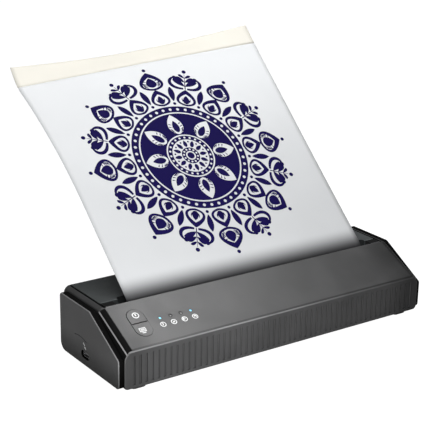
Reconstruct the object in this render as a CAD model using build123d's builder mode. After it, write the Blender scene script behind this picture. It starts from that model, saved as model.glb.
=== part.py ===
"""Portable thermal stencil copier: a low desk machine with a hinged rear cover.

The frame is +X to the right along the machine, +Y to the rear and +Z up, in millimetres.
The origin lies on the desk, under the middle of the casing.
"""
import os
from math import acos, atan2, cos, degrees, pi, radians, sin, tan

from build123d import *

os.makedirs("parts", exist_ok=True)

# Stencil sheet
sheet_width = 215.9
sheet_thickness = 0.25
sheet_tail_length = 31.0
sheet_bend_radius = 12.0
sheet_bend_bottom = 41.7
exit_lean = 42.6
free_lengths = (50.0, 55.0, 51.0, 27.0, 20.0, 16.0)
left_edge_leans = (41.0, 41.5, 34.0, 29.5, 26.0, 52.0)
right_edge_leans = (42.0, 42.6, 43.0, 42.4, 43.4, 45.0)
stub_thickness = 0.5

# Casing
casing_depth = 90.0
casing_top = 49.0
front_height = 30.6
slope_depth = 38.0
rear_corner_radius = 2.6
end_round_radius = 7.0
bottom_round_radius = 3.4
edge_radius = 1.0
wall = 2.2
end_wall = 3.2
tray_gap = 0.3
weld = 0.5
tray_floor = 2.2
tray_rim_height = 7.0
tray_rim_wall = 1.6

# Ribs moulded into the front
rib_pitch = 4.95
rib_groove_radius = 0.95
rib_groove_depth = 0.85
rib_top_margin = 4.0
rib_bottom_margin = 2.6
rib_end_margin = 7.6

# Feet
foot_height = 2.5
foot_length = 12.0
foot_width = 9.0
foot_plug_height = 1.0
foot_plug_inset = 1.5
foot_plug_radius = 2.0
foot_corner_radius = 3.0
foot_edge_radius = 0.8
foot_end_margin = 8.0
foot_side_margin = 3.0

# Rear cover, its hinge and the exit slot
cover_front_setback = 7.6
cover_gap = 0.8
cover_wall = 2.0
cover_end_margin = 7.4
cover_end_width = 9.6
cover_corner_radius = 2.0
cover_rib_count = 5
cover_rib_pitch = 45.0
cover_rib_height = 3.5
cover_rib_thickness = 1.2
slot_end_gap = 1.1
slot_front_step = 0.1
notch_depth = 4.2
notch_left_inset = 5.0
notch_corner_radius = 3.0
hinge_radius = 3.0
hinge_height = 36.0
hinge_setback = 0.15
hinge_pin_radius = 1.2
hinge_pin_length = 14.0
hinge_gap = 0.35
hinge_arm_depth = 3.7
hinge_ear_width = 4.0
hinge_ear_inset = 7.6
hinge_side_gap = 0.4
running_clearance = 0.05
well_wall = 1.8

# Inlet slot in the rear wall
inlet_overhang = 4.05
inlet_bottom = 23.6
inlet_height = 5.2
inlet_corner_radius = 1.2

# End plates
plate_proud = 3.6
plate_seat_depth = 1.4
plate_seat_gap = 0.9
plate_bevel = 0.5
plate_corner_radius = 2.6
plate_toe_radius = 3.4
plate_heel_radius = 7.0
plate_front_margin = 1.7
plate_rear_margin = 5.7
plate_bottom_margin = 0.6
plate_top_margin = 1.9
plate_front_height = 24.5
plate_slope_top_y = -3.6

# Power inlet in the left end
inlet_y = 2.8
inlet_z = 11.5
port_length = 9.0
port_width = 3.2
port_gap = 0.6
port_shell = 0.35
port_depth = 12.0
port_setback = 1.0
port_rim_depth = 1.0
port_rim_width = 0.7
port_tongue_length = 6.4
port_tongue_thickness = 0.7
port_tongue_setback = 0.8
port_back_wall = 1.5

# Curved mark moulded above the inlet
mark_rear = 14.7
mark_middle = 6.2
mark_front = 2.5
mark_height = 11.1
mark_rise = 1.0
mark_drop = 0.8
mark_width = 0.5
mark_depth = 0.3

# Buttons on the sloping panel
button_end_distance = 24.0
button_width = 13.0
button_length = 25.0
button_center_t = 21.8
button_split_gap = 0.6
button_gap = 0.3
button_proud = 0.35
button_flange = 0.9
button_flange_gap = 0.3
button_edge_radius = 0.3
button_stem_radius = 1.6

# Indicators on the sloping panel
lens_count = 4
lens_distance = 16.6
lens_pitch = 8.5
lens_t = 21.7
lens_radius = 1.0
lens_gap = 0.05
lens_recess = 0.3
lens_depth = 4.0

# Platen roller and its frame
platen_radius = 6.5
platen_overhang = 0.65
platen_setback = 6.5
platen_z = 33.0
shaft_radius = 2.5
nip_gap = 0.02
bracket_gap = 0.6
bracket_thickness = 1.4
bracket_boss_radius = 4.6
bracket_root_depth = 20.0
bearing_wall = 1.0
frame_gap = 0.3
frame_thickness = 1.1
frame_front_reach = 18.5
frame_rear_reach = 13.5
frame_head_half_width = 8.0
frame_shoulder_rise = 4.0
frame_top = 37.0
frame_foot_width = 9.0
frame_screw_inset = 5.0
frame_screw_margin = 4.0
frame_screw_depth = 1.6
cradle_half_width = 2.8

# Gear train
gear_module = 0.6
platen_teeth = 20
idler_teeth = 16
pinion_teeth = 12
pinion_step_count = 7
gear_width = 3.6
gear_backlash = 0.12
gear_addendum = 0.85
gear_dedendum = 1.15
pressure_angle = 20.0
gear_side_gap = 0.3
idler_axle_radius = 1.2
idler_axle_head = 0.8
pinion_bore_radius = 1.0
motor_radius = 6.0
motor_length = 14.0
motor_bore_depth = 4.0
motor_shaft_depth = 3.5
motor_edge_radius = 0.8
motor_shaft_end = 0.4
motor_clear_radius = 5.0

# Paper guide on the cover
guide_end_inset = 3.6
guide_setback = 6.5
guide_rear_margin = 9.0
guide_bottom = 27.2
guide_thickness = 1.2
guide_lip_depth = 3.0
guide_lip_rise = 2.4
guide_web_setback = 8.0
guide_web_rear_margin = 4.0
guide_web_x = 68.0

# Print head
head_overhang = 1.05
head_face_gap = 0.7
head_strip_thickness = 0.9
head_strip_bottom = 27.0
head_strip_top = 39.0
heater_bead_radius = 0.3
heat_sink_thickness = 4.0
heat_sink_bottom = 17.5
heat_sink_top = 39.6
head_pivot_distance = 10.1
head_pivot_z = 20.0
head_pin_radius = 1.2
rail_thickness = 1.2
rail_end_gap = 2.0
rail_top = 31.0
rail_foot_depth = 9.0
rail_distance = 6.0
spring_count = 4
spring_end_gap = 0.35
spring_radius = 2.0
spring_wire_radius = 0.28
spring_turns = 4
spring_height = 27.5
spring_pitch_x = 56.0
head_cable_width = 12.0
connector_distance = 34.0
connector_depth = 9.0
connector_inset = 6.0
connector_side = 1.0
connector_height = 2.4
head_cable_bend = 3.0
head_cable_thickness = 0.3

# Inside the tray
deck_top = 23.0
deck_thickness = 1.4
deck_overhang = 0.45
deck_setback = 11.1
deck_lip_depth = 3.0
deck_lip_drop = 2.0
sensor_x = 30.0
sensor_length = 8.0
sensor_width = 4.0
sensor_height = 3.0
deck_leg_width = 3.0
deck_rear_gap = 0.3
cell_radius = 7.0
cell_length = 50.0
cell_gap = 2.5
cell_count = 2
cell_rear_margin = 18.0
cell_board_gap = 2.0
board_thickness = 1.2
board_z = 8.2
board_side_gap = 1.4
board_length = 72.0
board_setback = 14.5
board_rear_margin = 11.0
charge_board_depth = 20.0
# Chips: distance along the main board, share of its depth, then length, depth and height
chips = (
    (14.0, 0.5, 12.0, 12.0, 1.4),
    (54.0, 0.65, 10.0, 6.0, 4.5),
    (34.0, 0.825, 8.0, 3.6, 1.6),
    (66.0, 0.5, 5.0, 8.0, 5.0),
)
charge_board_gap = 1.0
post_radius = 2.5
post_margin = 4.0
switch_size = 4.5
switch_height = 1.8
switch_offset = 5.0
plunger_radius = 1.0
plunger_height = 0.6
stem_end_gap = 0.7
control_board_drop = 8.5
control_board_end_margin = 10.0
control_board_lens_margin = 7.9
control_board_first_t = 8.0
control_board_last_t = 29.5
screw_head_radius = 2.2
screw_head_height = 1.2
screw_shank_radius = 1.4
screw_socket_radius = 1.2
screw_socket_depth = 0.8
screw_length = 9.0
screw_boss_radius = 3.6
screw_x = 62.0
screw_margin = 5.6
boss_top = 20.0
thread_radius = 1.2

# Worked out from the sizes above
platen_half_length = sheet_width / 2 + platen_overhang
head_half_length = sheet_width / 2 + head_overhang
deck_half_length = sheet_width / 2 + deck_overhang
inlet_half_length = sheet_width / 2 + inlet_overhang
guide_half_length = platen_half_length - guide_end_inset
bracket_inner_x = platen_half_length + bracket_gap
frame_inner_x = bracket_inner_x + bracket_thickness + frame_gap
frame_outer_x = frame_inner_x + frame_thickness
gear_inner_x = frame_outer_x + gear_side_gap
gear_outer_x = gear_inner_x + gear_width
frame_screw_x = frame_outer_x - frame_screw_inset
rail_half_length = frame_outer_x - frame_foot_width - rail_end_gap
slot_half_length = gear_outer_x + slot_end_gap
cover_half_length = slot_half_length + cover_end_width
hinge_ear_center = cover_half_length - hinge_ear_inset
half_length = cover_half_length + cover_end_margin
casing_length = 2 * half_length
button_center_x = button_end_distance - half_length
lens_first_x = button_center_x + lens_distance
board_left_x = deck_leg_width + board_side_gap - deck_half_length
connector_x = board_left_x + connector_distance
control_board_left_x = button_center_x - control_board_end_margin
lens_span = (lens_count - 1) * lens_pitch
control_board_length = control_board_end_margin + lens_distance + lens_span + control_board_lens_margin
half_depth = casing_depth / 2
front_y = -half_depth
slope_top_y = front_y + slope_depth
cover_front_y = slope_top_y + cover_front_setback
platen_y = slope_top_y + platen_setback
frame_front_y = platen_y - frame_front_reach
frame_rear_y = platen_y + frame_rear_reach
frame_screw_front_y = frame_front_y + frame_screw_margin
frame_screw_rear_y = frame_rear_y - frame_screw_margin
guide_front_y = platen_y + guide_setback
guide_rear_y = half_depth - guide_rear_margin
guide_web_front_y = guide_front_y + guide_web_setback
guide_web_rear_y = guide_rear_y - guide_web_rear_margin
head_pivot_y = platen_y - head_pivot_distance
deck_front_y = platen_y + deck_setback
board_front_y = platen_y + board_setback
board_depth = half_depth - board_rear_margin - board_front_y
connector_y = board_front_y + connector_inset
cell_y = half_depth - cell_rear_margin
cell_first_x = board_left_x + board_length + cell_board_gap
screw_y = half_depth - screw_margin
slope_rise = casing_top - front_height
slope_angle = degrees(atan2(slope_rise, slope_depth))
floor_z = foot_height
foot_x = half_length - foot_end_margin - foot_length / 2
foot_y = half_depth - foot_side_margin - foot_width / 2
deck_rear_y = half_depth - wall - tray_gap - deck_rear_gap
opening_half_length = cover_half_length + cover_gap
opening_front_y = cover_front_y - cover_gap
slot_front_y = slope_top_y + slot_front_step
notch_rear_y = cover_front_y + notch_depth
notch_left_end = slot_half_length - notch_left_inset
hinge_y = half_depth - hinge_radius - hinge_setback
plate_inner_x = half_length - plate_seat_depth
plate_outer_x = half_length + plate_proud
sheet_y = platen_y - platen_radius - nip_gap - sheet_thickness / 2
head_face_y = sheet_y - sheet_thickness / 2 - head_face_gap
heat_sink_front_y = head_face_y - head_strip_thickness - heat_sink_thickness
rail_y = heat_sink_front_y - rail_distance
idler_z = platen_z - gear_module * (platen_teeth + idler_teeth) / 2
pinion_angle = 90 + 180 / idler_teeth - pinion_step_count * 360 / idler_teeth
pinion_distance = gear_module * (idler_teeth + pinion_teeth) / 2
pinion_y = platen_y + pinion_distance * cos(radians(pinion_angle))
pinion_z = idler_z + pinion_distance * sin(radians(pinion_angle))
tray_top_z = floor_z + tray_floor

# The sloping panel's own plane: X along the machine, Y up the slope, Z out of the panel
panel = Plane(origin=(0, front_y, front_height), x_dir=(1, 0, 0),
              z_dir=(0, -sin(radians(slope_angle)), cos(radians(slope_angle))))


def end_plane(x):
    """A plane facing +X whose own X and Y are the machine's Y and Z."""
    return Plane(origin=(x, 0, 0), x_dir=(0, 1, 0), z_dir=(1, 0, 0))


def casing_block(inset_side, inset_end):
    """The casing's outer form, or with insets the hollow inside it."""
    with BuildPart() as block:
        with BuildSketch(end_plane(-(half_length - inset_end))):
            with BuildLine():
                Polyline(
                    (front_y, floor_z), (front_y, front_height), (slope_top_y, casing_top),
                    (half_depth, casing_top), (half_depth, floor_z), close=True,
                )
            make_face()
            if inset_side:
                offset(amount=-inset_side, kind=Kind.INTERSECTION)
        extrude(amount=2 * (half_length - inset_end))
        lengthwise = block.edges().filter_by(Axis.X)
        fillet(lengthwise.group_by(Axis.Z)[-1].sort_by(Axis.Y)[-1], rear_corner_radius)
        ends = block.faces().filter_by(Axis.X)
        round_edges = ShapeList()
        for edge in ends.edges():
            middle = edge @ 0.5
            along_y = abs(edge.tangent_at(0.5).Y) > 0.3
            if along_y and middle.Z > front_height and middle.Y < half_depth - inset_side - 1:
                round_edges.append(edge)
        fillet(round_edges, end_round_radius - inset_side)
        low_edges = block.edges().filter_by(Axis.Y).group_by(Axis.Z)[0]
        fillet(low_edges, bottom_round_radius - inset_side)
    return block.part


def involute_gear(teeth, bore_radius, tooth_at):
    """A spur gear on the XY plane, with one tooth pointing along the angle tooth_at."""
    pitch_radius = gear_module * teeth / 2
    base_radius = pitch_radius * cos(radians(pressure_angle))
    tip_radius = pitch_radius + gear_addendum * gear_module
    root_radius = pitch_radius - gear_dedendum * gear_module
    involute_at_pitch = tan(radians(pressure_angle)) - radians(pressure_angle)
    half_tooth = (pi / 2 - gear_backlash / gear_module) / teeth + involute_at_pitch
    start_radius = max(base_radius, root_radius)
    flank = []
    flank_count = 5
    for i in range(flank_count):
        radius = start_radius + (tip_radius - start_radius) * i / (flank_count - 1)
        roll = acos(min(1.0, base_radius / radius))
        flank.append((radius, half_tooth - (tan(roll) - roll)))
    with BuildPart() as gear:
        with BuildSketch():
            Circle(root_radius)
            with PolarLocations(0, teeth, start_angle=tooth_at):
                add(tooth_face(flank, root_radius))
            Circle(bore_radius, mode=Mode.SUBTRACT)
        extrude(amount=gear_width)
    return gear.part


def tooth_face(flank, root_radius):
    """One tooth pointing along X, from polar points of its upper flank."""
    upper = [(r * cos(a), r * sin(a)) for r, a in flank]
    lower = [(x, -y) for x, y in upper]
    foot_x = root_radius * 0.9
    with BuildSketch() as tooth:
        with BuildLine():
            Polyline(
                (foot_x, upper[0][1]), *upper, *reversed(lower), (foot_x, lower[0][1]), close=True,
            )
        make_face()
    return tooth.sketch


def plate_outline(margin):
    """The end plate's five-cornered outline, grown by a margin."""
    with BuildSketch() as outline:
        with BuildLine():
            Polyline(
                (front_y + plate_front_margin, floor_z + plate_bottom_margin),
                (front_y + plate_front_margin, plate_front_height),
                (plate_slope_top_y, casing_top - plate_top_margin),
                (half_depth - plate_rear_margin, casing_top - plate_top_margin),
                (half_depth - plate_rear_margin, floor_z + plate_bottom_margin),
                close=True,
            )
        make_face()
        upper_corners = [v for v in outline.vertices() if v.Y > floor_z + plate_bottom_margin + plate_heel_radius]
        fillet(upper_corners, plate_corner_radius)
        fillet(outline.vertices().group_by(Axis.Y)[0].sort_by(Axis.X)[-1], plate_heel_radius)
        fillet(outline.vertices().group_by(Axis.Y)[0].sort_by(Axis.X)[0], plate_toe_radius)
        if margin:
            offset(amount=margin)
    return outline.sketch


def half_stadium(upper, margin):
    """One half of the stadium that the two buttons share, on the panel's plane."""
    with BuildSketch() as half:
        with Locations((button_center_x, button_center_t)):
            SlotOverall(button_length, button_width, rotation=90)
        if margin:
            offset(amount=margin)
        split_t = button_center_t + button_split_gap / 2 * (1 if upper else -1)
        side = Align.MAX if upper else Align.MIN
        with Locations((button_center_x, split_t)):
            Rectangle(2 * button_width, button_length, align=(Align.CENTER, side), mode=Mode.SUBTRACT)
    return half.sketch


# Main casing: ribbed front, sloping panel, strip in front of the cover, ends and rear wall
with BuildPart() as main_casing:
    add(casing_block(0, 0))
    front = main_casing.faces().filter_by(Axis.Y).sort_by(Axis.Y)[0]
    fillet(front.edges(), edge_radius)
    add(casing_block(wall, end_wall), mode=Mode.SUBTRACT)
    # Open underside
    with BuildSketch(Plane.XY):
        Rectangle(casing_length - 2 * end_wall, casing_depth - 2 * wall)
    extrude(amount=floor_z + bottom_round_radius + wall, mode=Mode.SUBTRACT)
    # Screw bosses against the front and rear walls
    with BuildSketch(Plane.XY.offset(tray_top_z + tray_gap)):
        with GridLocations(2 * screw_x, 2 * screw_y, 2, 2):
            Circle(screw_boss_radius)
    extrude(amount=boss_top - tray_top_z)
    with BuildSketch(Plane.XY.offset(tray_top_z)):
        with GridLocations(2 * screw_x, 2 * screw_y, 2, 2):
            Circle(thread_radius)
    extrude(amount=screw_length, mode=Mode.SUBTRACT)
    # Side walls of the well that the cover closes
    with BuildSketch(Plane.XY.offset(hinge_height - hinge_radius)):
        for side in (-1, 1):
            with Locations((side * (opening_half_length + well_wall / 2), half_depth - wall)):
                Rectangle(well_wall, half_depth - wall - opening_front_y, align=(Align.CENTER, Align.MAX))
    extrude(amount=casing_top - wall - hinge_height + hinge_radius)
    # Opening for the cover, down to the hinge barrel
    with BuildSketch(Plane.XY.offset(hinge_height)):
        with Locations((0, opening_front_y)):
            Rectangle(2 * opening_half_length, casing_depth, align=(Align.CENTER, Align.MIN))
    extrude(amount=casing_top, mode=Mode.SUBTRACT)
    # Exit slot between the panel's top edge and the cover
    with BuildSketch(Plane.XY.offset(hinge_height)):
        with Locations((0, slot_front_y)):
            Rectangle(2 * slot_half_length, cover_front_y - slot_front_y, align=(Align.CENTER, Align.MIN))
    extrude(amount=casing_top, mode=Mode.SUBTRACT)
    # Gaps in the rear wall for the cover's hinge ears
    ear_gap_half = hinge_ear_width / 2 + hinge_side_gap
    for side in (-1, 1):
        with BuildSketch(end_plane(side * hinge_ear_center - ear_gap_half)):
            with Locations((half_depth + 1, hinge_height - hinge_radius - hinge_gap)):
                Rectangle(wall + 2, 2 * hinge_radius, align=(Align.MAX, Align.MIN))
        extrude(amount=2 * ear_gap_half, mode=Mode.SUBTRACT)
    # Hinge barrel along the top of the rear wall, in three lengths, bored for the pins
    inner_barrel_x = hinge_ear_center - ear_gap_half
    outer_barrel_x = hinge_ear_center + ear_gap_half
    outer_barrel_length = opening_half_length - outer_barrel_x
    for start_x, length in (
        (-opening_half_length, outer_barrel_length),
        (-inner_barrel_x, 2 * inner_barrel_x),
        (outer_barrel_x, outer_barrel_length),
    ):
        with BuildSketch(end_plane(start_x)):
            with Locations((hinge_y, hinge_height)):
                Circle(hinge_radius)
        extrude(amount=length)
    for side in (-1, 1):
        with BuildSketch(end_plane(side * hinge_ear_center - hinge_pin_length / 2)):
            with Locations((hinge_y, hinge_height)):
                Circle(hinge_pin_radius)
        extrude(amount=hinge_pin_length, mode=Mode.SUBTRACT)
    # Inlet slot through the rear wall
    with BuildSketch(Plane.XZ.offset(-half_depth - 1)):
        with Locations((0, inlet_bottom + inlet_height / 2)):
            RectangleRounded(2 * inlet_half_length, inlet_height, inlet_corner_radius)
    extrude(amount=2 * wall, mode=Mode.SUBTRACT)
    # Grooves between the ribs
    rib_span = casing_length - 2 * rib_end_margin
    rib_count = int(rib_span / rib_pitch) + 1
    groove_bottom = floor_z + rib_bottom_margin
    groove_top = front_height - rib_top_margin
    groove_y = front_y - rib_groove_radius + rib_groove_depth
    with BuildSketch(Plane.XY.offset(groove_bottom)):
        with Locations((0, groove_y)):
            with GridLocations(rib_pitch, 1, rib_count, 1):
                Circle(rib_groove_radius)
    extrude(amount=groove_top - groove_bottom, mode=Mode.SUBTRACT)
    # Seats for the end plates
    for side in (-1, 1):
        with BuildSketch(end_plane(side * (half_length + 1) if side < 0 else plate_inner_x)):
            add(plate_outline(plate_seat_gap))
        extrude(amount=plate_seat_depth + 1, mode=Mode.SUBTRACT)
    # Opening for the power inlet
    with BuildSketch(end_plane(-half_length - 1)):
        with Locations((inlet_y, inlet_z)):
            SlotOverall(port_length + 2 * port_gap, port_width + 2 * port_gap)
    extrude(amount=end_wall + 2, mode=Mode.SUBTRACT)
    # Openings for the buttons and the indicators
    with BuildSketch(panel.offset(-3 * wall)):
        with Locations((button_center_x, button_center_t)):
            SlotOverall(button_length + 2 * button_gap, button_width + 2 * button_gap, rotation=90)
        for i in range(lens_count):
            with Locations((lens_first_x + i * lens_pitch, lens_t)):
                Circle(lens_radius + lens_gap)
    extrude(amount=6 * wall, mode=Mode.SUBTRACT)
main_casing.part.label = "main_casing"
export_step(main_casing.part, "parts/main_casing.step")

# Base tray: the floor of the machine, with a rim that stands inside the casing
tray_length = casing_length - 2 * (end_wall + tray_gap)
tray_depth = casing_depth - 2 * (wall + tray_gap)
plug_length = foot_length - 2 * foot_plug_inset
plug_width = foot_width - 2 * foot_plug_inset
frame_screw_spots = [
    (side * frame_screw_x, y) for side in (-1, 1) for y in (frame_screw_front_y, frame_screw_rear_y)
]
with BuildPart() as base_tray:
    add(casing_block(0, 0))
    with BuildSketch(Plane.XY.offset(floor_z)):
        Rectangle(tray_length, tray_depth)
    extrude(amount=tray_rim_height, mode=Mode.INTERSECT)
    with BuildSketch(Plane.XY.offset(tray_top_z)):
        Rectangle(tray_length - 2 * tray_rim_wall, tray_depth - 2 * tray_rim_wall)
    extrude(amount=tray_rim_height, mode=Mode.SUBTRACT)
    with BuildSketch(Plane.XY.offset(tray_top_z)):
        with GridLocations(2 * screw_x, 2 * screw_y, 2, 2):
            Circle(screw_boss_radius + tray_gap)
    extrude(amount=tray_rim_height, mode=Mode.SUBTRACT)
    with BuildSketch(Plane.XY.offset(floor_z)):
        with GridLocations(2 * screw_x, 2 * screw_y, 2, 2):
            Circle(screw_head_radius + tray_gap)
    extrude(amount=screw_head_height, mode=Mode.SUBTRACT)
    with BuildSketch(Plane.XY):
        with GridLocations(2 * screw_x, 2 * screw_y, 2, 2):
            Circle(screw_shank_radius + running_clearance)
    extrude(amount=tray_top_z, mode=Mode.SUBTRACT)
    with BuildSketch(Plane.XY.offset(floor_z)):
        with GridLocations(2 * foot_x, 2 * foot_y, 2, 2):
            RectangleRounded(plug_length, plug_width, foot_plug_radius)
    extrude(amount=foot_plug_height, mode=Mode.SUBTRACT)
    with BuildSketch(Plane.XY.offset(tray_top_z - frame_screw_depth)):
        with Locations(*frame_screw_spots):
            Circle(thread_radius)
    extrude(amount=frame_screw_depth, mode=Mode.SUBTRACT)
base_tray.part.label = "base_tray"
export_step(base_tray.part, "parts/base_tray.step")

# Rubber feet, plugged into the tray
with BuildPart() as rubber_feet:
    with BuildSketch(Plane.XY):
        with GridLocations(2 * foot_x, 2 * foot_y, 2, 2):
            RectangleRounded(foot_length, foot_width, foot_corner_radius)
    extrude(amount=foot_height)
    fillet(rubber_feet.edges().group_by(Axis.Z)[0], foot_edge_radius)
    with BuildSketch(Plane.XY.offset(foot_height)):
        with GridLocations(2 * foot_x, 2 * foot_y, 2, 2):
            RectangleRounded(plug_length, plug_width, foot_plug_radius)
    extrude(amount=foot_plug_height)
rubber_feet.part.label = "rubber_feet"
export_step(rubber_feet.part, "parts/rubber_feet.step")

# Screws up through the tray into the casing's bosses
with BuildPart() as case_screws:
    with BuildSketch(Plane.XY.offset(floor_z)):
        with GridLocations(2 * screw_x, 2 * screw_y, 2, 2):
            Circle(screw_head_radius)
    extrude(amount=screw_head_height)
    with BuildSketch(Plane.XY.offset(floor_z)):
        with GridLocations(2 * screw_x, 2 * screw_y, 2, 2):
            RegularPolygon(screw_socket_radius, 6)
    extrude(amount=screw_socket_depth, mode=Mode.SUBTRACT)
    with BuildSketch(Plane.XY.offset(floor_z + screw_head_height)):
        with GridLocations(2 * screw_x, 2 * screw_y, 2, 2):
            Circle(thread_radius)
    extrude(amount=screw_length)
case_screws.part.label = "case_screws"
export_step(case_screws.part, "parts/case_screws.step")


def end_plate(side):
    """A bevelled plate on one end of the casing; side is -1 for the left end."""
    with BuildPart() as plate:
        with BuildSketch(end_plane(side * plate_inner_x)):
            add(plate_outline(0))
        extrude(amount=side * (plate_outer_x - plate_inner_x))
        outer_face = plate.faces().filter_by(Axis.X).sort_by(Axis.X)[0 if side < 0 else -1]
        chamfer(outer_face.edges(), plate_bevel)
    return plate.part


# Left end plate, with the power inlet's opening and a shallow pocket around it
port_margin = port_gap + port_rim_width
mark_z = inlet_z + mark_height
with BuildPart() as left_end_plate:
    add(end_plate(-1))
    with BuildSketch(end_plane(-plate_outer_x)):
        with Locations((inlet_y, inlet_z)):
            SlotOverall(port_length + 2 * port_margin, port_width + 2 * port_margin)
    extrude(amount=port_rim_depth, mode=Mode.SUBTRACT)
    with BuildSketch(end_plane(-plate_outer_x)):
        with Locations((inlet_y, inlet_z)):
            SlotOverall(port_length + 2 * port_gap, port_width + 2 * port_gap)
    extrude(amount=2 * plate_proud, mode=Mode.SUBTRACT)
    with BuildSketch(end_plane(-plate_outer_x)):
        with BuildLine():
            ThreePointArc(
                (inlet_y + mark_rear, mark_z), (inlet_y + mark_middle, mark_z + mark_rise),
                (inlet_y - mark_front, mark_z - mark_drop),
            )
            offset(amount=mark_width / 2, side=Side.BOTH)
        make_face()
    extrude(amount=mark_depth, mode=Mode.SUBTRACT)
left_end_plate.part.label = "left_end_plate"
export_step(left_end_plate.part, "parts/left_end_plate.step")

with BuildPart() as right_end_plate:
    add(end_plate(1))
right_end_plate.part.label = "right_end_plate"
export_step(right_end_plate.part, "parts/right_end_plate.step")

# Rear cover: top panel with front lip, side walls and rear skirt, hinge ears and platen brackets
cover_bottom = hinge_height + hinge_radius + hinge_gap
cover_under = casing_top - cover_wall
with BuildPart() as rear_cover:
    add(casing_block(0, 0))
    with BuildSketch(Plane.XY.offset(cover_bottom)):
        with Locations((0, cover_front_y)):
            Rectangle(2 * cover_half_length, casing_depth, align=(Align.CENTER, Align.MIN))
    extrude(amount=casing_top, mode=Mode.INTERSECT)
    with BuildSketch(Plane.XY.offset(cover_bottom)):
        with Locations((-notch_left_end, cover_front_y)):
            Rectangle(notch_left_end + slot_half_length, notch_depth, align=(Align.MIN, Align.MIN))
    extrude(amount=casing_top, mode=Mode.SUBTRACT)
    upright = rear_cover.edges().filter_by(Axis.Z).group_by(Axis.Y)
    fillet(upright[0].sort_by(Axis.X)[0], cover_corner_radius)
    upright = rear_cover.edges().filter_by(Axis.Z).group_by(Axis.Y)
    fillet(upright[0].sort_by(Axis.X)[-1], cover_corner_radius)
    notch_edges = rear_cover.edges().filter_by(Axis.Z).filter_by_position(
        Axis.Y, notch_rear_y - 0.1, notch_rear_y + 0.1)
    fillet(notch_edges, notch_corner_radius)
    inner_half_length = cover_half_length - cover_wall
    notch_wall_y = notch_rear_y + cover_wall
    inner_depth = half_depth - cover_wall - notch_wall_y
    with BuildSketch(Plane.XY.offset(cover_bottom)):
        with Locations((0, notch_wall_y)):
            Rectangle(2 * inner_half_length, inner_depth, align=(Align.CENTER, Align.MIN))
        for side, notch_end in ((-1, notch_left_end), (1, slot_half_length)):
            with Locations((side * (notch_end + cover_wall), cover_front_y + cover_wall)):
                Rectangle(inner_half_length - notch_end - cover_wall, notch_depth + cover_wall,
                          align=(Align.MIN if side > 0 else Align.MAX, Align.MIN))
    extrude(amount=cover_under - cover_bottom, mode=Mode.SUBTRACT)
    for side in (-1, 1):
        # Hinge ear
        with BuildSketch(end_plane(side * hinge_ear_center - hinge_ear_width / 2)):
            with Locations((hinge_y, hinge_height)):
                Circle(hinge_radius - hinge_gap)
            with Locations((half_depth - cover_wall + weld, hinge_height)):
                Rectangle(hinge_arm_depth + weld, cover_under + weld - hinge_height,
                          align=(Align.MAX, Align.MIN))
            with Locations((hinge_y, hinge_height)):
                Circle(hinge_pin_radius + running_clearance, mode=Mode.SUBTRACT)
        extrude(amount=hinge_ear_width)
        # Bracket for the platen's bearing
        with BuildSketch(end_plane(side * (bracket_inner_x + bracket_thickness / 2) - bracket_thickness / 2)):
            with BuildLine():
                Polyline(
                    (platen_y - bracket_boss_radius, platen_z), (notch_wall_y, cover_under + weld),
                    (notch_wall_y + bracket_root_depth, cover_under + weld),
                    (platen_y + bracket_boss_radius / 2, platen_z - bracket_boss_radius * 0.9), close=True,
                )
            make_face()
            with Locations((platen_y, platen_z)):
                Circle(bracket_boss_radius)
                Circle(shaft_radius + running_clearance + bearing_wall, mode=Mode.SUBTRACT)
        extrude(amount=bracket_thickness)
    # Stiffening ribs under the top
    for i in range(cover_rib_count):
        rib_x = (i - (cover_rib_count - 1) / 2) * cover_rib_pitch
        with BuildSketch(end_plane(rib_x - cover_rib_thickness / 2)):
            with Locations((notch_wall_y - weld, cover_under + weld)):
                Rectangle(inner_depth + 2 * weld, cover_rib_height + weld, align=(Align.MIN, Align.MAX))
        extrude(amount=cover_rib_thickness)
rear_cover.part.label = "rear_cover"
export_step(rear_cover.part, "parts/rear_cover.step")

# Hinge pins, fixed in the casing's barrel and free in the cover's ears
with BuildPart() as hinge_pins:
    for side in (-1, 1):
        with BuildSketch(end_plane(side * hinge_ear_center - hinge_pin_length / 2)):
            with Locations((hinge_y, hinge_height)):
                Circle(hinge_pin_radius)
        extrude(amount=hinge_pin_length)
hinge_pins.part.label = "hinge_pins"
export_step(hinge_pins.part, "parts/hinge_pins.step")

# Paper guide on the underside of the rear cover
with BuildPart() as upper_guide:
    guide_top = guide_bottom + guide_thickness
    with BuildSketch(end_plane(-guide_half_length)):
        with BuildLine():
            Polyline(
                (guide_front_y, guide_bottom + guide_lip_rise),
                (guide_front_y + guide_lip_depth, guide_bottom),
                (guide_rear_y, guide_bottom), (guide_rear_y, guide_top),
                (guide_front_y + guide_lip_depth, guide_top), (guide_front_y, guide_top + guide_lip_rise),
                close=True,
            )
        make_face()
    extrude(amount=2 * guide_half_length)
    for web_x in (-guide_half_length, -guide_web_x, guide_web_x, guide_half_length - guide_thickness):
        with BuildSketch(end_plane(web_x)):
            with Locations((guide_web_front_y, guide_bottom)):
                Rectangle(guide_web_rear_y - guide_web_front_y, cover_under - guide_bottom,
                          align=(Align.MIN, Align.MIN))
        extrude(amount=guide_thickness)
upper_guide.part.label = "upper_guide"
export_step(upper_guide.part, "parts/upper_guide.step")

# Platen roller on its shaft, in bushes carried by the cover's brackets
with BuildPart() as platen_roller:
    with BuildSketch(end_plane(-platen_half_length)):
        with Locations((platen_y, platen_z)):
            Circle(platen_radius)
            Circle(shaft_radius, mode=Mode.SUBTRACT)
    extrude(amount=2 * platen_half_length)
platen_roller.part.label = "platen_roller"
export_step(platen_roller.part, "parts/platen_roller.step")

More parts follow.
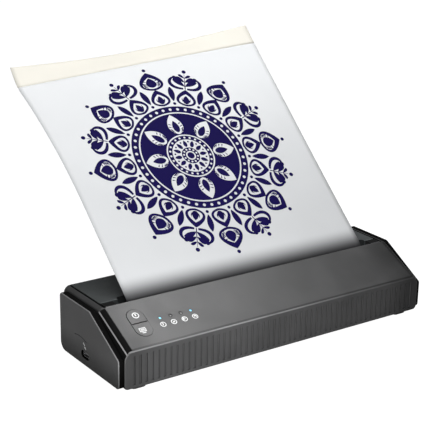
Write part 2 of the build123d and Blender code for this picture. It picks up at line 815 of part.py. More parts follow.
with BuildPart() as platen_shaft:
    with BuildSketch(end_plane(-frame_outer_x - 1)):
        with Locations((platen_y, platen_z)):
            Circle(shaft_radius)
    extrude(amount=frame_outer_x + 1 + gear_outer_x + 0.4)
    chamfer(platen_shaft.edges(), 0.4)
platen_shaft.part.label = "platen_shaft"
export_step(platen_shaft.part, "parts/platen_shaft.step")

with BuildPart() as platen_bearings:
    for side in (-1, 1):
        with BuildSketch(end_plane(side * (bracket_inner_x + bracket_thickness / 2) - bracket_thickness / 2)):
            with Locations((platen_y, platen_z)):
                Circle(shaft_radius + running_clearance + bearing_wall)
                Circle(shaft_radius + running_clearance, mode=Mode.SUBTRACT)
        extrude(amount=bracket_thickness)
platen_bearings.part.label = "platen_bearings"
export_step(platen_bearings.part, "parts/platen_bearings.step")


def gear_at(teeth, bore_radius, tooth_at, y, z):
    """A gear of the train, standing on the outer side of the right frame."""
    return end_plane(gear_inner_x).location * Pos(y, z, 0) * involute_gear(teeth, bore_radius, tooth_at)


with BuildPart() as platen_gear:
    add(gear_at(platen_teeth, shaft_radius, -90, platen_y, platen_z))
platen_gear.part.label = "platen_gear"
export_step(platen_gear.part, "parts/platen_gear.step")

with BuildPart() as idler_gear:
    idler_bore_radius = idler_axle_radius + running_clearance
    add(gear_at(idler_teeth, idler_bore_radius, 90 + 180 / idler_teeth, platen_y, idler_z))
idler_gear.part.label = "idler_gear"
export_step(idler_gear.part, "parts/idler_gear.step")

with BuildPart() as motor_pinion:
    pinion_tooth_at = pinion_angle + 180 + 180 / pinion_teeth
    add(gear_at(pinion_teeth, pinion_bore_radius, pinion_tooth_at, pinion_y, pinion_z))
motor_pinion.part.label = "motor_pinion"
export_step(motor_pinion.part, "parts/motor_pinion.step")

with BuildPart() as idler_axle:
    with BuildSketch(end_plane(frame_inner_x)):
        with Locations((platen_y, idler_z)):
            Circle(idler_axle_radius)
    extrude(amount=gear_outer_x + gear_side_gap - frame_inner_x)
    with BuildSketch(end_plane(gear_outer_x + gear_side_gap)):
        with Locations((platen_y, idler_z)):
            Circle(2 * idler_axle_radius)
    extrude(amount=idler_axle_head)
idler_axle.part.label = "idler_axle"
export_step(idler_axle.part, "parts/idler_axle.step")

with BuildPart() as feed_motor:
    with BuildSketch(end_plane(frame_inner_x - motor_length)):
        with Locations((pinion_y, pinion_z)):
            Circle(motor_radius)
    extrude(amount=motor_length)
    with BuildSketch(end_plane(frame_inner_x - motor_bore_depth)):
        with Locations((pinion_y, pinion_z)):
            Circle(pinion_bore_radius + running_clearance)
    extrude(amount=motor_bore_depth, mode=Mode.SUBTRACT)
    fillet(feed_motor.faces().sort_by(Axis.X)[0].edges(), motor_edge_radius)
feed_motor.part.label = "feed_motor"
export_step(feed_motor.part, "parts/feed_motor.step")

with BuildPart() as motor_shaft:
    with BuildSketch(end_plane(frame_inner_x - motor_shaft_depth)):
        with Locations((pinion_y, pinion_z)):
            Circle(pinion_bore_radius)
    extrude(amount=gear_outer_x + motor_shaft_end - frame_inner_x + motor_shaft_depth)
motor_shaft.part.label = "motor_shaft"
export_step(motor_shaft.part, "parts/motor_shaft.step")


def side_frame(side):
    """A steel side frame: cradle for the platen shaft, head pivot and a foot on the tray."""
    start_x = frame_inner_x if side > 0 else -frame_outer_x
    shoulder_z = head_pivot_z + frame_shoulder_rise
    with BuildPart() as plate:
        with BuildSketch(end_plane(start_x)):
            with BuildLine():
                Polyline(
                    (frame_front_y, tray_top_z), (frame_front_y, shoulder_z),
                    (platen_y - frame_head_half_width, frame_top),
                    (platen_y + frame_head_half_width, frame_top),
                    (frame_rear_y, shoulder_z), (frame_rear_y, tray_top_z), close=True,
                )
            make_face()
            with Locations((platen_y, platen_z)):
                Circle(cradle_half_width, mode=Mode.SUBTRACT)
                Rectangle(2 * cradle_half_width, frame_top,
                          align=(Align.CENTER, Align.MIN), mode=Mode.SUBTRACT)
            with Locations((head_pivot_y, head_pivot_z)):
                Circle(head_pin_radius + running_clearance, mode=Mode.SUBTRACT)
            if side > 0:
                with Locations((platen_y, idler_z)):
                    Circle(idler_axle_radius, mode=Mode.SUBTRACT)
                with Locations((pinion_y, pinion_z)):
                    Circle(motor_clear_radius, mode=Mode.SUBTRACT)
        extrude(amount=frame_thickness)
        with BuildSketch(Plane.XY.offset(tray_top_z)):
            with Locations((side * frame_outer_x, frame_front_y)):
                Rectangle(frame_foot_width, frame_rear_y - frame_front_y,
                          align=(Align.MAX if side > 0 else Align.MIN, Align.MIN))
            with Locations(*frame_screw_spots):
                Circle(thread_radius, mode=Mode.SUBTRACT)
        extrude(amount=frame_thickness)
    return plate.part


with BuildPart() as left_side_frame:
    add(side_frame(-1))
left_side_frame.part.label = "left_side_frame"
export_step(left_side_frame.part, "parts/left_side_frame.step")

with BuildPart() as right_side_frame:
    add(side_frame(1))
right_side_frame.part.label = "right_side_frame"
export_step(right_side_frame.part, "parts/right_side_frame.step")

with BuildPart() as frame_screws:
    with BuildSketch(Plane.XY.offset(tray_top_z - frame_screw_depth)):
        with Locations(*frame_screw_spots):
            Circle(thread_radius)
    extrude(amount=frame_screw_depth + frame_thickness)
    with BuildSketch(Plane.XY.offset(tray_top_z + frame_thickness)):
        with Locations(*frame_screw_spots):
            Circle(2 * thread_radius)
    extrude(amount=screw_head_height)
frame_screws.part.label = "frame_screws"
export_step(frame_screws.part, "parts/frame_screws.step")

# Print head: heater strip on an aluminium heat sink that rocks on two pins
with BuildPart() as heat_sink:
    with BuildSketch(end_plane(-head_half_length)):
        with Locations((heat_sink_front_y, heat_sink_bottom)):
            Rectangle(heat_sink_thickness, heat_sink_top - heat_sink_bottom, align=(Align.MIN, Align.MIN))
        with Locations((head_pivot_y, head_pivot_z)):
            Circle(head_pin_radius, mode=Mode.SUBTRACT)
        for i in range(4):
            with Locations((heat_sink_front_y, head_pivot_z + 4 + 3.5 * i)):
                Rectangle(2.4, 1.6, mode=Mode.SUBTRACT)
    extrude(amount=2 * head_half_length)
heat_sink.part.label = "heat_sink"
export_step(heat_sink.part, "parts/heat_sink.step")

with BuildPart() as print_head_strip:
    with BuildSketch(end_plane(-head_half_length)):
        with Locations((head_face_y, head_strip_bottom)):
            Rectangle(head_strip_thickness, head_strip_top - head_strip_bottom, align=(Align.MAX, Align.MIN))
        with Locations((head_face_y, platen_z)):
            Circle(heater_bead_radius)
    extrude(amount=2 * head_half_length)
print_head_strip.part.label = "print_head_strip"
export_step(print_head_strip.part, "parts/print_head_strip.step")

with BuildPart() as head_pins:
    for side in (-1, 1):
        start_x = head_half_length - 4 if side > 0 else -frame_outer_x - 0.4
        with BuildSketch(end_plane(start_x)):
            with Locations((head_pivot_y, head_pivot_z)):
                Circle(head_pin_radius)
        extrude(amount=frame_outer_x + 0.4 - head_half_length + 4)
head_pins.part.label = "head_pins"
export_step(head_pins.part, "parts/head_pins.step")

# Rail in front of the print head, which its springs push against
with BuildPart() as head_rail:
    with BuildSketch(end_plane(-rail_half_length)):
        with Locations((rail_y, tray_top_z)):
            Rectangle(rail_thickness, rail_top - tray_top_z, align=(Align.MAX, Align.MIN))
            Rectangle(rail_foot_depth, rail_thickness, align=(Align.MAX, Align.MIN))
    extrude(amount=2 * rail_half_length)
head_rail.part.label = "head_rail"
export_step(head_rail.part, "parts/head_rail.step")

spring_height_free = rail_distance - spring_end_gap - 2 * spring_wire_radius
with BuildPart() as head_springs:
    for i in range(spring_count):
        spring_x = (i - (spring_count - 1) / 2) * spring_pitch_x
        with BuildLine() as coil:
            Helix(pitch=spring_height_free / spring_turns, height=spring_height_free,
                  radius=spring_radius - spring_wire_radius,
                  center=(spring_x, rail_y + spring_wire_radius, spring_height), direction=(0, 1, 0))
        with BuildSketch(Plane(origin=coil.line @ 0, z_dir=coil.line % 0)):
            Circle(spring_wire_radius)
        sweep(path=coil.line, is_frenet=True)
head_springs.part.label = "head_springs"
export_step(head_springs.part, "parts/head_springs.step")

# Lower paper guide, a deck over the boards and cells
deck_under = deck_top - deck_thickness
with BuildPart() as paper_deck:
    with BuildSketch(end_plane(-deck_half_length)):
        with BuildLine():
            Polyline(
                (deck_front_y, deck_top - deck_lip_drop), (deck_front_y + deck_lip_depth, deck_top),
                (deck_rear_y, deck_top), (deck_rear_y, deck_under),
                (deck_front_y + deck_lip_depth, deck_under), (deck_front_y, deck_under - deck_lip_drop),
                close=True,
            )
        make_face()
    extrude(amount=2 * deck_half_length)
    for x in (-deck_half_length, deck_half_length - deck_leg_width):
        with BuildSketch(Plane.XY.offset(tray_top_z)):
            with Locations((x, board_front_y)):
                Rectangle(deck_leg_width, deck_rear_y - board_front_y - 4, align=(Align.MIN, Align.MIN))
        extrude(amount=deck_under - tray_top_z)
paper_deck.part.label = "paper_deck"
export_step(paper_deck.part, "parts/paper_deck.step")

with BuildPart() as paper_sensor:
    with BuildSketch(Plane.XY.offset(deck_under - sensor_height)):
        with Locations((sensor_x, deck_front_y + deck_lip_depth + sensor_length / 2)):
            Rectangle(sensor_length, sensor_width)
    extrude(amount=sensor_height)
paper_sensor.part.label = "paper_sensor"
export_step(paper_sensor.part, "parts/paper_sensor.step")

# Battery cells, side by side along the machine
with BuildPart() as battery_cells:
    for i in range(cell_count):
        start_x = cell_first_x + i * (cell_length + cell_gap)
        with BuildSketch(end_plane(start_x)):
            with Locations((cell_y, tray_top_z + cell_radius)):
                Circle(cell_radius)
        extrude(amount=cell_length - 1)
        with BuildSketch(end_plane(start_x + cell_length - 1)):
            with Locations((cell_y, tray_top_z + cell_radius)):
                Circle(cell_radius / 3)
        extrude(amount=1)
battery_cells.part.label = "battery_cells"
export_step(battery_cells.part, "parts/battery_cells.step")

# Main board on posts, with its components
charge_board_top = inlet_z - port_width / 2
charge_board_x = -(tray_length / 2 - tray_rim_wall - tray_gap)
charge_board_length = -frame_outer_x - charge_board_gap - charge_board_x
with BuildPart() as main_board:
    with BuildSketch(Plane.XY.offset(board_z)):
        with Locations((board_left_x, board_front_y)):
            Rectangle(board_length, board_depth, align=(Align.MIN, Align.MIN))
    extrude(amount=board_thickness)
main_board.part.label = "main_board"
export_step(main_board.part, "parts/main_board.step")

with BuildPart() as board_posts:
    with BuildSketch(Plane.XY.offset(tray_top_z)):
        with Locations((board_left_x + board_length / 2, board_front_y + board_depth / 2)):
            with GridLocations(board_length - 2 * post_margin, board_depth - 2 * post_margin, 2, 2):
                Circle(post_radius)
    extrude(amount=board_z - tray_top_z)
    with BuildSketch(Plane.XY.offset(tray_top_z)):
        with Locations((charge_board_x + charge_board_length / 2, inlet_y)):
            with GridLocations(1, charge_board_depth - 2 * post_margin, 1, 2):
                Circle(post_radius)
    extrude(amount=charge_board_top - board_thickness - tray_top_z)
board_posts.part.label = "board_posts"
export_step(board_posts.part, "parts/board_posts.step")

with BuildPart() as board_components:
    with BuildSketch(Plane.XY.offset(board_z + board_thickness)):
        with Locations((connector_x, connector_y)):
            Rectangle(head_cable_width + 2 * connector_side, connector_depth)
    extrude(amount=connector_height)
    for x, share, length, depth, height in chips:
        with BuildSketch(Plane.XY.offset(board_z + board_thickness)):
            with Locations((board_left_x + x, board_front_y + share * board_depth)):
                Rectangle(length, depth)
        extrude(amount=height)
board_components.part.label = "board_components"
export_step(board_components.part, "parts/board_components.step")

# Charging board with the power inlet socket
socket_x = -plate_outer_x + port_setback
with BuildPart() as charge_board:
    with BuildSketch(Plane.XY.offset(charge_board_top - board_thickness)):
        with Locations((charge_board_x, inlet_y)):
            Rectangle(charge_board_length, charge_board_depth, align=(Align.MIN, Align.CENTER))
    extrude(amount=board_thickness)
charge_board.part.label = "charge_board"
export_step(charge_board.part, "parts/charge_board.step")

with BuildPart() as power_socket:
    with BuildSketch(end_plane(socket_x)):
        with Locations((inlet_y, inlet_z)):
            SlotOverall(port_length, port_width)
    extrude(amount=port_depth)
    with BuildSketch(end_plane(socket_x)):
        with Locations((inlet_y, inlet_z)):
            SlotOverall(port_length - 2 * port_shell, port_width - 2 * port_shell)
    extrude(amount=port_depth - port_back_wall, mode=Mode.SUBTRACT)
    with BuildSketch(end_plane(socket_x + port_tongue_setback)):
        with Locations((inlet_y, inlet_z)):
            Rectangle(port_tongue_length, port_tongue_thickness)
    extrude(amount=port_depth - port_back_wall - port_tongue_setback)
power_socket.part.label = "power_socket"
export_step(power_socket.part, "parts/power_socket.step")

# Control board under the sloping panel, with the switches and the indicator lamps
with BuildPart() as control_board:
    with BuildSketch(panel.offset(-control_board_drop - board_thickness)):
        with Locations((control_board_left_x, control_board_first_t)):
            Rectangle(control_board_length, control_board_last_t - control_board_first_t,
                      align=(Align.MIN, Align.MIN))
    extrude(amount=board_thickness)
control_board.part.label = "control_board"
export_step(control_board.part, "parts/control_board.step")

power_t = button_center_t + switch_offset
feed_t = button_center_t - switch_offset
with BuildPart() as button_switches:
    with BuildSketch(panel.offset(-control_board_drop)):
        with Locations((button_center_x, power_t), (button_center_x, feed_t)):
            Rectangle(switch_size, switch_size)
    extrude(amount=switch_height)
    with BuildSketch(panel.offset(-control_board_drop + switch_height)):
        with Locations((button_center_x, power_t), (button_center_x, feed_t)):
            Circle(plunger_radius)
    extrude(amount=plunger_height)
button_switches.part.label = "button_switches"
export_step(button_switches.part, "parts/button_switches.step")

with BuildPart() as indicator_lamps:
    with BuildSketch(panel.offset(-control_board_drop)):
        for i in range(lens_count):
            with Locations((lens_first_x + i * lens_pitch, lens_t)):
                Rectangle(1.6, 1.0)
    extrude(amount=0.8)
indicator_lamps.part.label = "indicator_lamps"
export_step(indicator_lamps.part, "parts/indicator_lamps.step")


def panel_button(upper, stem_t):
    """A cap flush with the panel, a flange behind the panel and a stem towards its switch."""
    stem_end = -control_board_drop + switch_height + plunger_height + stem_end_gap
    flange_top = -wall - button_flange_gap
    with BuildPart() as button:
        with BuildSketch(panel.offset(flange_top)):
            add(half_stadium(upper, 0))
        extrude(amount=button_proud - flange_top)
        fillet(button.faces().sort_by(Axis.Z)[-1].edges(), button_edge_radius)
        with BuildSketch(panel.offset(flange_top - button_flange)):
            add(half_stadium(upper, button_flange))
        extrude(amount=button_flange)
        with BuildSketch(panel.offset(stem_end)):
            with Locations((button_center_x, stem_t)):
                Circle(button_stem_radius)
        extrude(amount=flange_top - stem_end)
    return button.part


with BuildPart() as power_button:
    add(panel_button(True, power_t))
power_button.part.label = "power_button"
export_step(power_button.part, "parts/power_button.step")

with BuildPart() as feed_button:
    add(panel_button(False, feed_t))
feed_button.part.label = "feed_button"
export_step(feed_button.part, "parts/feed_button.step")

# Indicator lenses, light pipes pressed into the panel
for i in range(lens_count):
    with BuildPart() as lens:
        with BuildSketch(panel.offset(-lens_recess)):
            with Locations((lens_first_x + i * lens_pitch, lens_t)):
                Circle(lens_radius)
        extrude(amount=-lens_depth)
    lens.part.label = f"indicator_lens_{i + 1}"
    export_step(lens.part, f"parts/indicator_lens_{i + 1}.step")

# Flat cable from the print head to the main board
cable_z = board_z + board_thickness + connector_height / 2
with BuildPart() as head_cable:
    with BuildSketch(end_plane(connector_x - head_cable_width / 2)):
        with BuildLine():
            FilletPolyline(
                (head_pivot_y, heat_sink_bottom - spring_end_gap), (head_pivot_y, cable_z),
                (connector_y - (connector_depth + head_cable_thickness) / 2, cable_z),
                radius=head_cable_bend,
            )
            offset(amount=head_cable_thickness / 2, side=Side.BOTH)
        make_face()
    extrude(amount=head_cable_width)
head_cable.part.label = "head_cable"
export_step(head_cable.part, "parts/head_cable.step")


def free_points(side_offset, leans):
    """Points up one face of the sheet's free part, from the end of the bend to its far end."""
    turn = radians(90 - exit_lean)
    y = sheet_y + sheet_bend_radius * (1 - cos(turn))
    z = sheet_bend_bottom + sheet_bend_radius * sin(turn)
    points = [(y - side_offset * cos(turn), z + side_offset * sin(turn))]
    for length, lean, next_lean in zip(free_lengths, leans, (*leans[1:], leans[-1])):
        y += length * cos(radians(lean))
        z += length * sin(radians(lean))
        crease = radians(lean + next_lean) / 2
        points.append((y - side_offset * sin(crease), z + side_offset * cos(crease)))
    return points


def free_section(x, leans, thickness, segments):
    """The free part's section at one long edge of the sheet, over some of its segments."""
    lower = free_points(-thickness / 2, leans)[segments]
    upper = free_points(thickness / 2, leans)[segments]
    with BuildSketch(end_plane(x)) as section:
        with BuildLine():
            Polyline(*lower, *reversed(upper), close=True)
        make_face()
    return section.sketch


# Stencil sheet: from the inlet round the platen and out of the slot, leaning back; its left edge sags
bend_center = (sheet_y + sheet_bend_radius, sheet_bend_bottom)
tail_z = platen_z - platen_y + sheet_y
with BuildPart() as stencil_sheet:
    with BuildSketch(end_plane(-sheet_width / 2)):
        with BuildLine() as middle:
            Line((platen_y + sheet_tail_length, tail_z), (platen_y, tail_z))
            CenterArc((platen_y, platen_z), platen_y - sheet_y, -90, -90)
            Line((sheet_y, platen_z), (sheet_y, sheet_bend_bottom))
            CenterArc(bend_center, sheet_bend_radius, 180, exit_lean - 90)
        trace(middle.line, sheet_thickness)
    extrude(amount=sheet_width)
    loft(
        [
            free_section(-sheet_width / 2, left_edge_leans, sheet_thickness, slice(0, -1)).face(),
            free_section(sheet_width / 2, right_edge_leans, sheet_thickness, slice(0, -1)).face(),
        ],
        ruled=True,
    )
stencil_sheet.part.label = "stencil_sheet"
export_step(stencil_sheet.part, "parts/stencil_sheet.step")

# Binding strip that holds the sheet's layers together along its far end
with BuildPart() as binding_stub:
    loft(
        [
            free_section(-sheet_width / 2, left_edge_leans, stub_thickness, slice(-2, None)).face(),
            free_section(sheet_width / 2, right_edge_leans, stub_thickness, slice(-2, None)).face(),
        ],
        ruled=True,
    )
binding_stub.part.label = "binding_stub"
export_step(binding_stub.part, "parts/binding_stub.step")
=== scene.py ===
# %% [markdown]
# # A portable stencil copier, dressed for its portrait
# The machine is a low dark box that burns a drawing onto stencil paper. Its solid parts come from the
# imported CAD model, already at their real size, so this script never moves them: it gives every part a
# finish, and it makes itself what solids do badly, which is paper, print and small symbols.

# %% Load the frame
import math
import bpy
import bmesh
from mathutils import Matrix, Vector
from mathutils.geometry import tessellate_polygon


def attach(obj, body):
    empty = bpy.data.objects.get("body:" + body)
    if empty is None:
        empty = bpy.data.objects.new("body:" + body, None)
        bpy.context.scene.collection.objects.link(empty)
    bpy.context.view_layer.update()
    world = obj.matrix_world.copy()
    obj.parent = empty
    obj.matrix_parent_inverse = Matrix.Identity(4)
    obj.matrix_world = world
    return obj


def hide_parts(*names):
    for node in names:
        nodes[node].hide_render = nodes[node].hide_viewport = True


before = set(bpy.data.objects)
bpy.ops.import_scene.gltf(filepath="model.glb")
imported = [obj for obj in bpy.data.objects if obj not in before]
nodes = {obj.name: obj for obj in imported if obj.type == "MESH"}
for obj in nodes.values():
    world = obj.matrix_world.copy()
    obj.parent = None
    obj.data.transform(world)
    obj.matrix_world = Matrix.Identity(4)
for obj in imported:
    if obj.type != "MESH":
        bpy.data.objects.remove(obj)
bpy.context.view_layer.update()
MM = 0.001
print("parts on the bench:", len(nodes))

# %% [markdown]
# ## Writing a finish as arithmetic
# A finish is a small program: noise here, a mask there, one multiplied by the other. Wiring Math nodes by
# hand hides that, so the class below wraps a number socket and lets Python's own operators add the nodes.
# `1 - mask` and `height * 0.3` then read as they would on paper.

# %% Value: a number that changes over a surface
class Value:
    def __init__(self, finish, socket):
        self.finish = finish
        self.socket = socket

    def math(self, operation, *terms):
        inputs = dict(enumerate((self, *terms)))
        node = self.finish.node("ShaderNodeMath", {"operation": operation}, inputs)
        return Value(self.finish, node.outputs[0])

    def __add__(self, other):
        return self.math("ADD", other)

    def __sub__(self, other):
        return self.math("SUBTRACT", other)

    def __mul__(self, other):
        return self.math("MULTIPLY", other)

    __radd__ = __add__
    __rmul__ = __mul__

    def __rsub__(self, other):
        return (self * -1.0) + other

    def between(self, low, high):
        """0 at low, 1 at high, smooth in between."""
        settings = {"interpolation_type": "SMOOTHSTEP"}
        inputs = {"Value": self, "From Min": low, "From Max": high}
        node = self.finish.node("ShaderNodeMapRange", settings, inputs)
        return Value(self.finish, node.outputs["Result"])


print("numbers on a surface can be added and multiplied")


# %% Finish: one material and the short ways to build it
class Finish:
    def __init__(self, name, color, roughness, **constants):
        self.material = bpy.data.materials.new(name)
        self.material.use_nodes = True
        self.tree = self.material.node_tree
        self.shader = self.tree.nodes["Principled BSDF"]
        self.set("Base Color", (*color, 1.0))
        self.set("Roughness", roughness)
        for socket, value in constants.items():
            self.set(socket.replace("_", " "), value)
        self.place = self.node("ShaderNodeTexCoord").outputs["Object"]

    def node(self, kind, settings=None, inputs=None):
        """Adds a node: its settings first, then the value or the link of each named or numbered socket."""
        node = self.tree.nodes.new(kind)
        for key, value in (settings or {}).items():
            setattr(node, key, value)
        for key, value in (inputs or {}).items():
            value = value.socket if isinstance(value, Value) else value
            if isinstance(value, bpy.types.NodeSocket):
                self.tree.links.new(value, node.inputs[key])
            else:
                node.inputs[key].default_value = value
        return node

    def set(self, socket, value):
        """Gives the shader's own socket a constant or a link."""
        value = value.socket if isinstance(value, Value) else value
        if isinstance(value, bpy.types.NodeSocket):
            self.tree.links.new(value, self.shader.inputs[socket])
        else:
            self.shader.inputs[socket].default_value = value

    def axis(self, index):
        """The surface point's X, Y or Z on the machine, in metres."""
        split = self.node("ShaderNodeSeparateXYZ", None, {0: self.place})
        return Value(self, split.outputs[index])

    def noise(self, size, detail=2.0, stretch=(1, 1, 1)):
        """Clouds of about this size in metres; stretch squeezes them along an axis."""
        scaled = self.node("ShaderNodeMapping", None, {"Vector": self.place, "Scale": stretch})
        inputs = {"Vector": scaled.outputs[0], "Scale": 1 / size, "Detail": detail}
        node = self.node("ShaderNodeTexNoise", None, inputs)
        return Value(self, node.outputs[0])

    def cells(self, size):
        """Distance to the nearest of many scattered points."""
        node = self.node("ShaderNodeTexVoronoi", None, {"Vector": self.place, "Scale": 1 / size})
        return Value(self, node.outputs["Distance"])

    def blend(self, mask, low, high):
        """The colour low where the mask is 0 and high where it is 1."""
        colors = [c if isinstance(c, bpy.types.NodeSocket) else (*c, 1.0) for c in (low, high)]
        settings = {"data_type": "RGBA"}
        node = self.node("ShaderNodeMix", settings, {0: mask, 6: colors[0], 7: colors[1]})
        return node.outputs[2]

    def times(self, color, factor):
        """A colour made lighter or darker by a number that varies."""
        node = self.node("ShaderNodeVectorMath", {"operation": "SCALE"}, {0: color, "Scale": factor})
        return node.outputs[0]

    def relief(self, height, depth):
        """Bump from a height of 0 to 1, that deep in metres."""
        node = self.node("ShaderNodeBump", None, {"Height": height, "Distance": depth, "Strength": 1.0})
        self.set("Normal", node.outputs[0])


print("finishes can be built")

# %% [markdown]
# ## The plastics
# Nearly all that shows is dark grey ABS, moulded in a tool that was spark-eroded. That leaves a fine
# pebbled grain, a few tenths of a millimetre, which turns a sharp reflection into a soft glow. Two
# noises do it: a fine one for the grain's relief, a broad one for where hands have polished it. Where
# painted shade should stay dark, `dull` takes the sheen off: plastic reflects a little however dark
# its colour is, and a dark metal doesn't, so there the mask feeds Metallic. The plastic itself is no metal.

# %% Moulded plastic
def shade(color, factor):
    return tuple(c * factor for c in color)


def mould_grain(finish, color, roughness, tone=1.0, dull=None, grain=0.00022, depth=0.00002):
    """Grain and a hand-polished unevenness. tone multiplies the colour with any painted light and shade,
    and dull takes the sheen off there.
    """
    broad = finish.noise(0.03, detail=3.0).between(0.35, 0.65)
    pebbles = finish.noise(grain, detail=1.0)
    base = finish.blend(broad, shade(color, 0.9), shade(color, 1.1))
    finish.set("Base Color", finish.times(base, tone))
    rough = broad * hand_polish + pebbles * grain_polish + (roughness - (hand_polish + grain_polish) / 2)
    if dull:
        rough = rough + dull.between(0.4, 0.9) * dull_roughness
        finish.set("Metallic", dull)
    finish.set("Roughness", rough)
    finish.relief(pebbles, depth)


def moulded_plastic(name, color, roughness, **how):
    finish = Finish(name, color, roughness)
    mould_grain(finish, color, roughness, **how)
    return finish.material


hand_polish = 0.06
grain_polish = 0.10
dull_roughness = 0.5
print("grain finish ready")

# %% [markdown]
# ## Painted shade and highlights at the edges
# The ends of the machine read as separate mouldings because of what happens at their edges: shade in the
# rolls, seams, gaps and grooves, and highlights along parting lines and rims. Lamps alone don't bring this
# out on so dark a plastic, so the shade and the highlights are painted into the finishes, as a painter
# would shade a model. Each tone below is a band along one axis of the machine, and it stays where it is
# under any light.
# Several are weaker on the right, and painted shade darkens the front and the panel toward their ends, to
# suit the main view. Places are in metres from the middle of the machine, with height above the desk.


# %% A band along one axis
def band(value, rise, top, fall, foot):
    """0 outside rise to foot, 1 between top and fall."""
    return value.between(rise, top) * (1 - value.between(fall, foot))


print("band ready")


# %% Painted light and shade of the casing
def casing_painted_light(finish):
    """Painted shade in the rolls, gaps, seams, grooves and top strip; painted highlights on ridge and front
    edge.
    """
    out = finish.axis(0).math("ABSOLUTE")
    deep_in, height = finish.axis(1), finish.axis(2)
    behind_front = deep_in.between(-0.0449, -0.0443)
    on_front = 1 - deep_in.between(-0.0446, -0.0443)
    on_slope = 1 - deep_in.between(*slope_top)
    to_right = finish.axis(0).between(*right_half)
    # roll, gap, seam and strip are painted shade: dark bands where the rolls, the end gaps, the top seam
    # and the strip before the cover lie in shadow.
    roll = out.between(*roll_place) * on_slope * (roll_dark - to_right * 0.6)
    gap = out.between(*gap_place) * (gap_dark - to_right * 0.4)
    seam = band(out, *seam_place) * (1 - on_slope) * seam_dark
    strip = band(deep_in, *strip_depth) * height.between(*strip_height)
    strip = strip * (1 - out.between(*cover_end)) * strip_dark
    # line is a painted highlight along the ridge at the end of the slope.
    line = band(out, *line_place) * on_slope
    dark = roll.math("MAXIMUM", gap).math("MAXIMUM", seam).math("MAXIMUM", strip)
    dark = dark * behind_front * (1 - line)
    # Painted shade in the bottoms of the front's grooves.
    groove = band(deep_in, *groove_depth) * (1 - height.between(*groove_top))
    groove = groove * (1 - out.between(*groove_end)) * (to_right * 0.2 + groove_dark)
    # edge is a painted highlight along the front's upper edge, and score a painted dark line on the panel
    # just behind it.
    edge = band(height, *edge_height) * on_front
    edge = edge * (1 - out.between(*edge_end)) * (1 - to_right * 0.8)
    score = band(height, *score_height) * (1 - deep_in.between(*score_depth))
    # Painted shade: the panel darkens toward its ends and the front toward its right end, where the sheen
    # falls off.
    toward_end = out.between(*fade_place) * on_slope
    fade = 1 - toward_end * panel_fade - on_front * to_right * front_fade
    tone = (1 - dark) * (1 - groove) * (1 - score * score_dark) * fade
    tone = tone + line * behind_front * painted_ridge_highlight + edge * painted_edge_highlight
    return tone, dark.math("MAXIMUM", toward_end * 0.36)


# Where the painted shade and highlights of the casing lie, and how strong they are.
slope_top = (-0.0085, -0.0065)
right_half = (-0.05, 0.11)
roll_place, roll_dark = (0.1266, 0.1276), 0.82
gap_place, gap_dark = (0.1308, 0.1326), 0.66
seam_place, seam_dark = (0.1255, 0.1262, 0.1279, 0.1282), 0.97
strip_depth, strip_height = (-0.0068, -0.0058, 0.006, 0.007), (0.0485, 0.0488)
cover_end, strip_dark = (0.1255, 0.1262), 0.75
line_place, painted_ridge_highlight = (0.1312, 0.1315, 0.1318, 0.1322), 7.5
groove_depth, groove_top = (-0.0449, -0.0446, -0.0440, -0.0435), (0.0272, 0.0282)
groove_end, groove_dark = (0.1258, 0.1266), 0.36
edge_height, edge_end, painted_edge_highlight = (0.0294, 0.0298, 0.0306, 0.0307), (0.1290, 0.1330), 3.2
score_height, score_depth, score_dark = (0.0307, 0.0308, 0.0313, 0.0316), (-0.0434, -0.0431), 0.75
fade_place, panel_fade, front_fade = (0.098, 0.1285), 0.30, 0.18
print("casing tones ready, bright line", painted_ridge_highlight)


# %% Painted light and shade of the end plates and the cover
def plate_painted_light(finish):
    """Painted highlight on the rim; painted shade on the side wall, in the hollows round the inlet and near
    the desk.
    """
    out = finish.axis(0).math("ABSOLUTE")
    deep_in, height = finish.axis(1), finish.axis(2)
    middle = band(deep_in, *middle_depth) * band(height, *middle_height)
    # line is a painted highlight along the plate's rim; hollow and wall are painted shade.
    line = band(out, *rim_place) * (1 - middle)
    hollow = middle * (1 - out.between(*face_place))
    wall = 1 - out.between(*wall_place)
    # Painted shade that deepens toward the desk.
    low = height.between(*desk_shade) * 0.75 + 0.25
    tone = (1 - wall * wall_dark + line * painted_rim_highlight) * low * (1 - hollow * hollow_dark)
    return tone, wall.math("MAXIMUM", hollow * 0.8) * 0.95


def cover_painted_light(finish):
    """A painted highlight along the front lip, and painted shadow along the cover's ends."""
    out = finish.axis(0).math("ABSOLUTE")
    # lip is a painted highlight; the ends get painted shadow.
    lip = band(finish.axis(1), *lip_depth)
    return 1 + lip * painted_lip_highlight - out.between(*cover_side) * side_dark


# Where the painted highlights and shade of the plates and the cover lie, and how strong they are.
middle_depth, middle_height = (-0.0150, -0.0145, 0.0340, 0.0345), (0.0055, 0.0058, 0.0380, 0.0385)
rim_place, painted_rim_highlight = (0.13700, 0.13712, 0.1375, 0.13757), 1.5
face_place, hollow_dark = (0.13742, 0.13756), 0.85
wall_place, wall_dark = (0.1368, 0.1371), 0.9
desk_shade = (0.003, 0.026)
lip_depth, painted_lip_highlight = (0.0004, 0.0006, 0.0013, 0.0016), 1.2
cover_side, side_dark = (0.1260, 0.1265), 0.7
print("plate and cover tones ready")

# %% Give the plastics to their parts
def dress(material, *names):
    """Puts one finish on each of these parts."""
    for name in names:
        mesh = nodes[name].data
        mesh.materials.clear()
        mesh.materials.append(material)
        for face in mesh.polygons:
            face.material_index = 0
    print(material.name, "->", ", ".join(names))


casing_grey = (0.052, 0.052, 0.053)
plate_grey = (0.098, 0.098, 0.099)
cover_grey = (0.054, 0.060, 0.061)
black = (0.012, 0.012, 0.013)
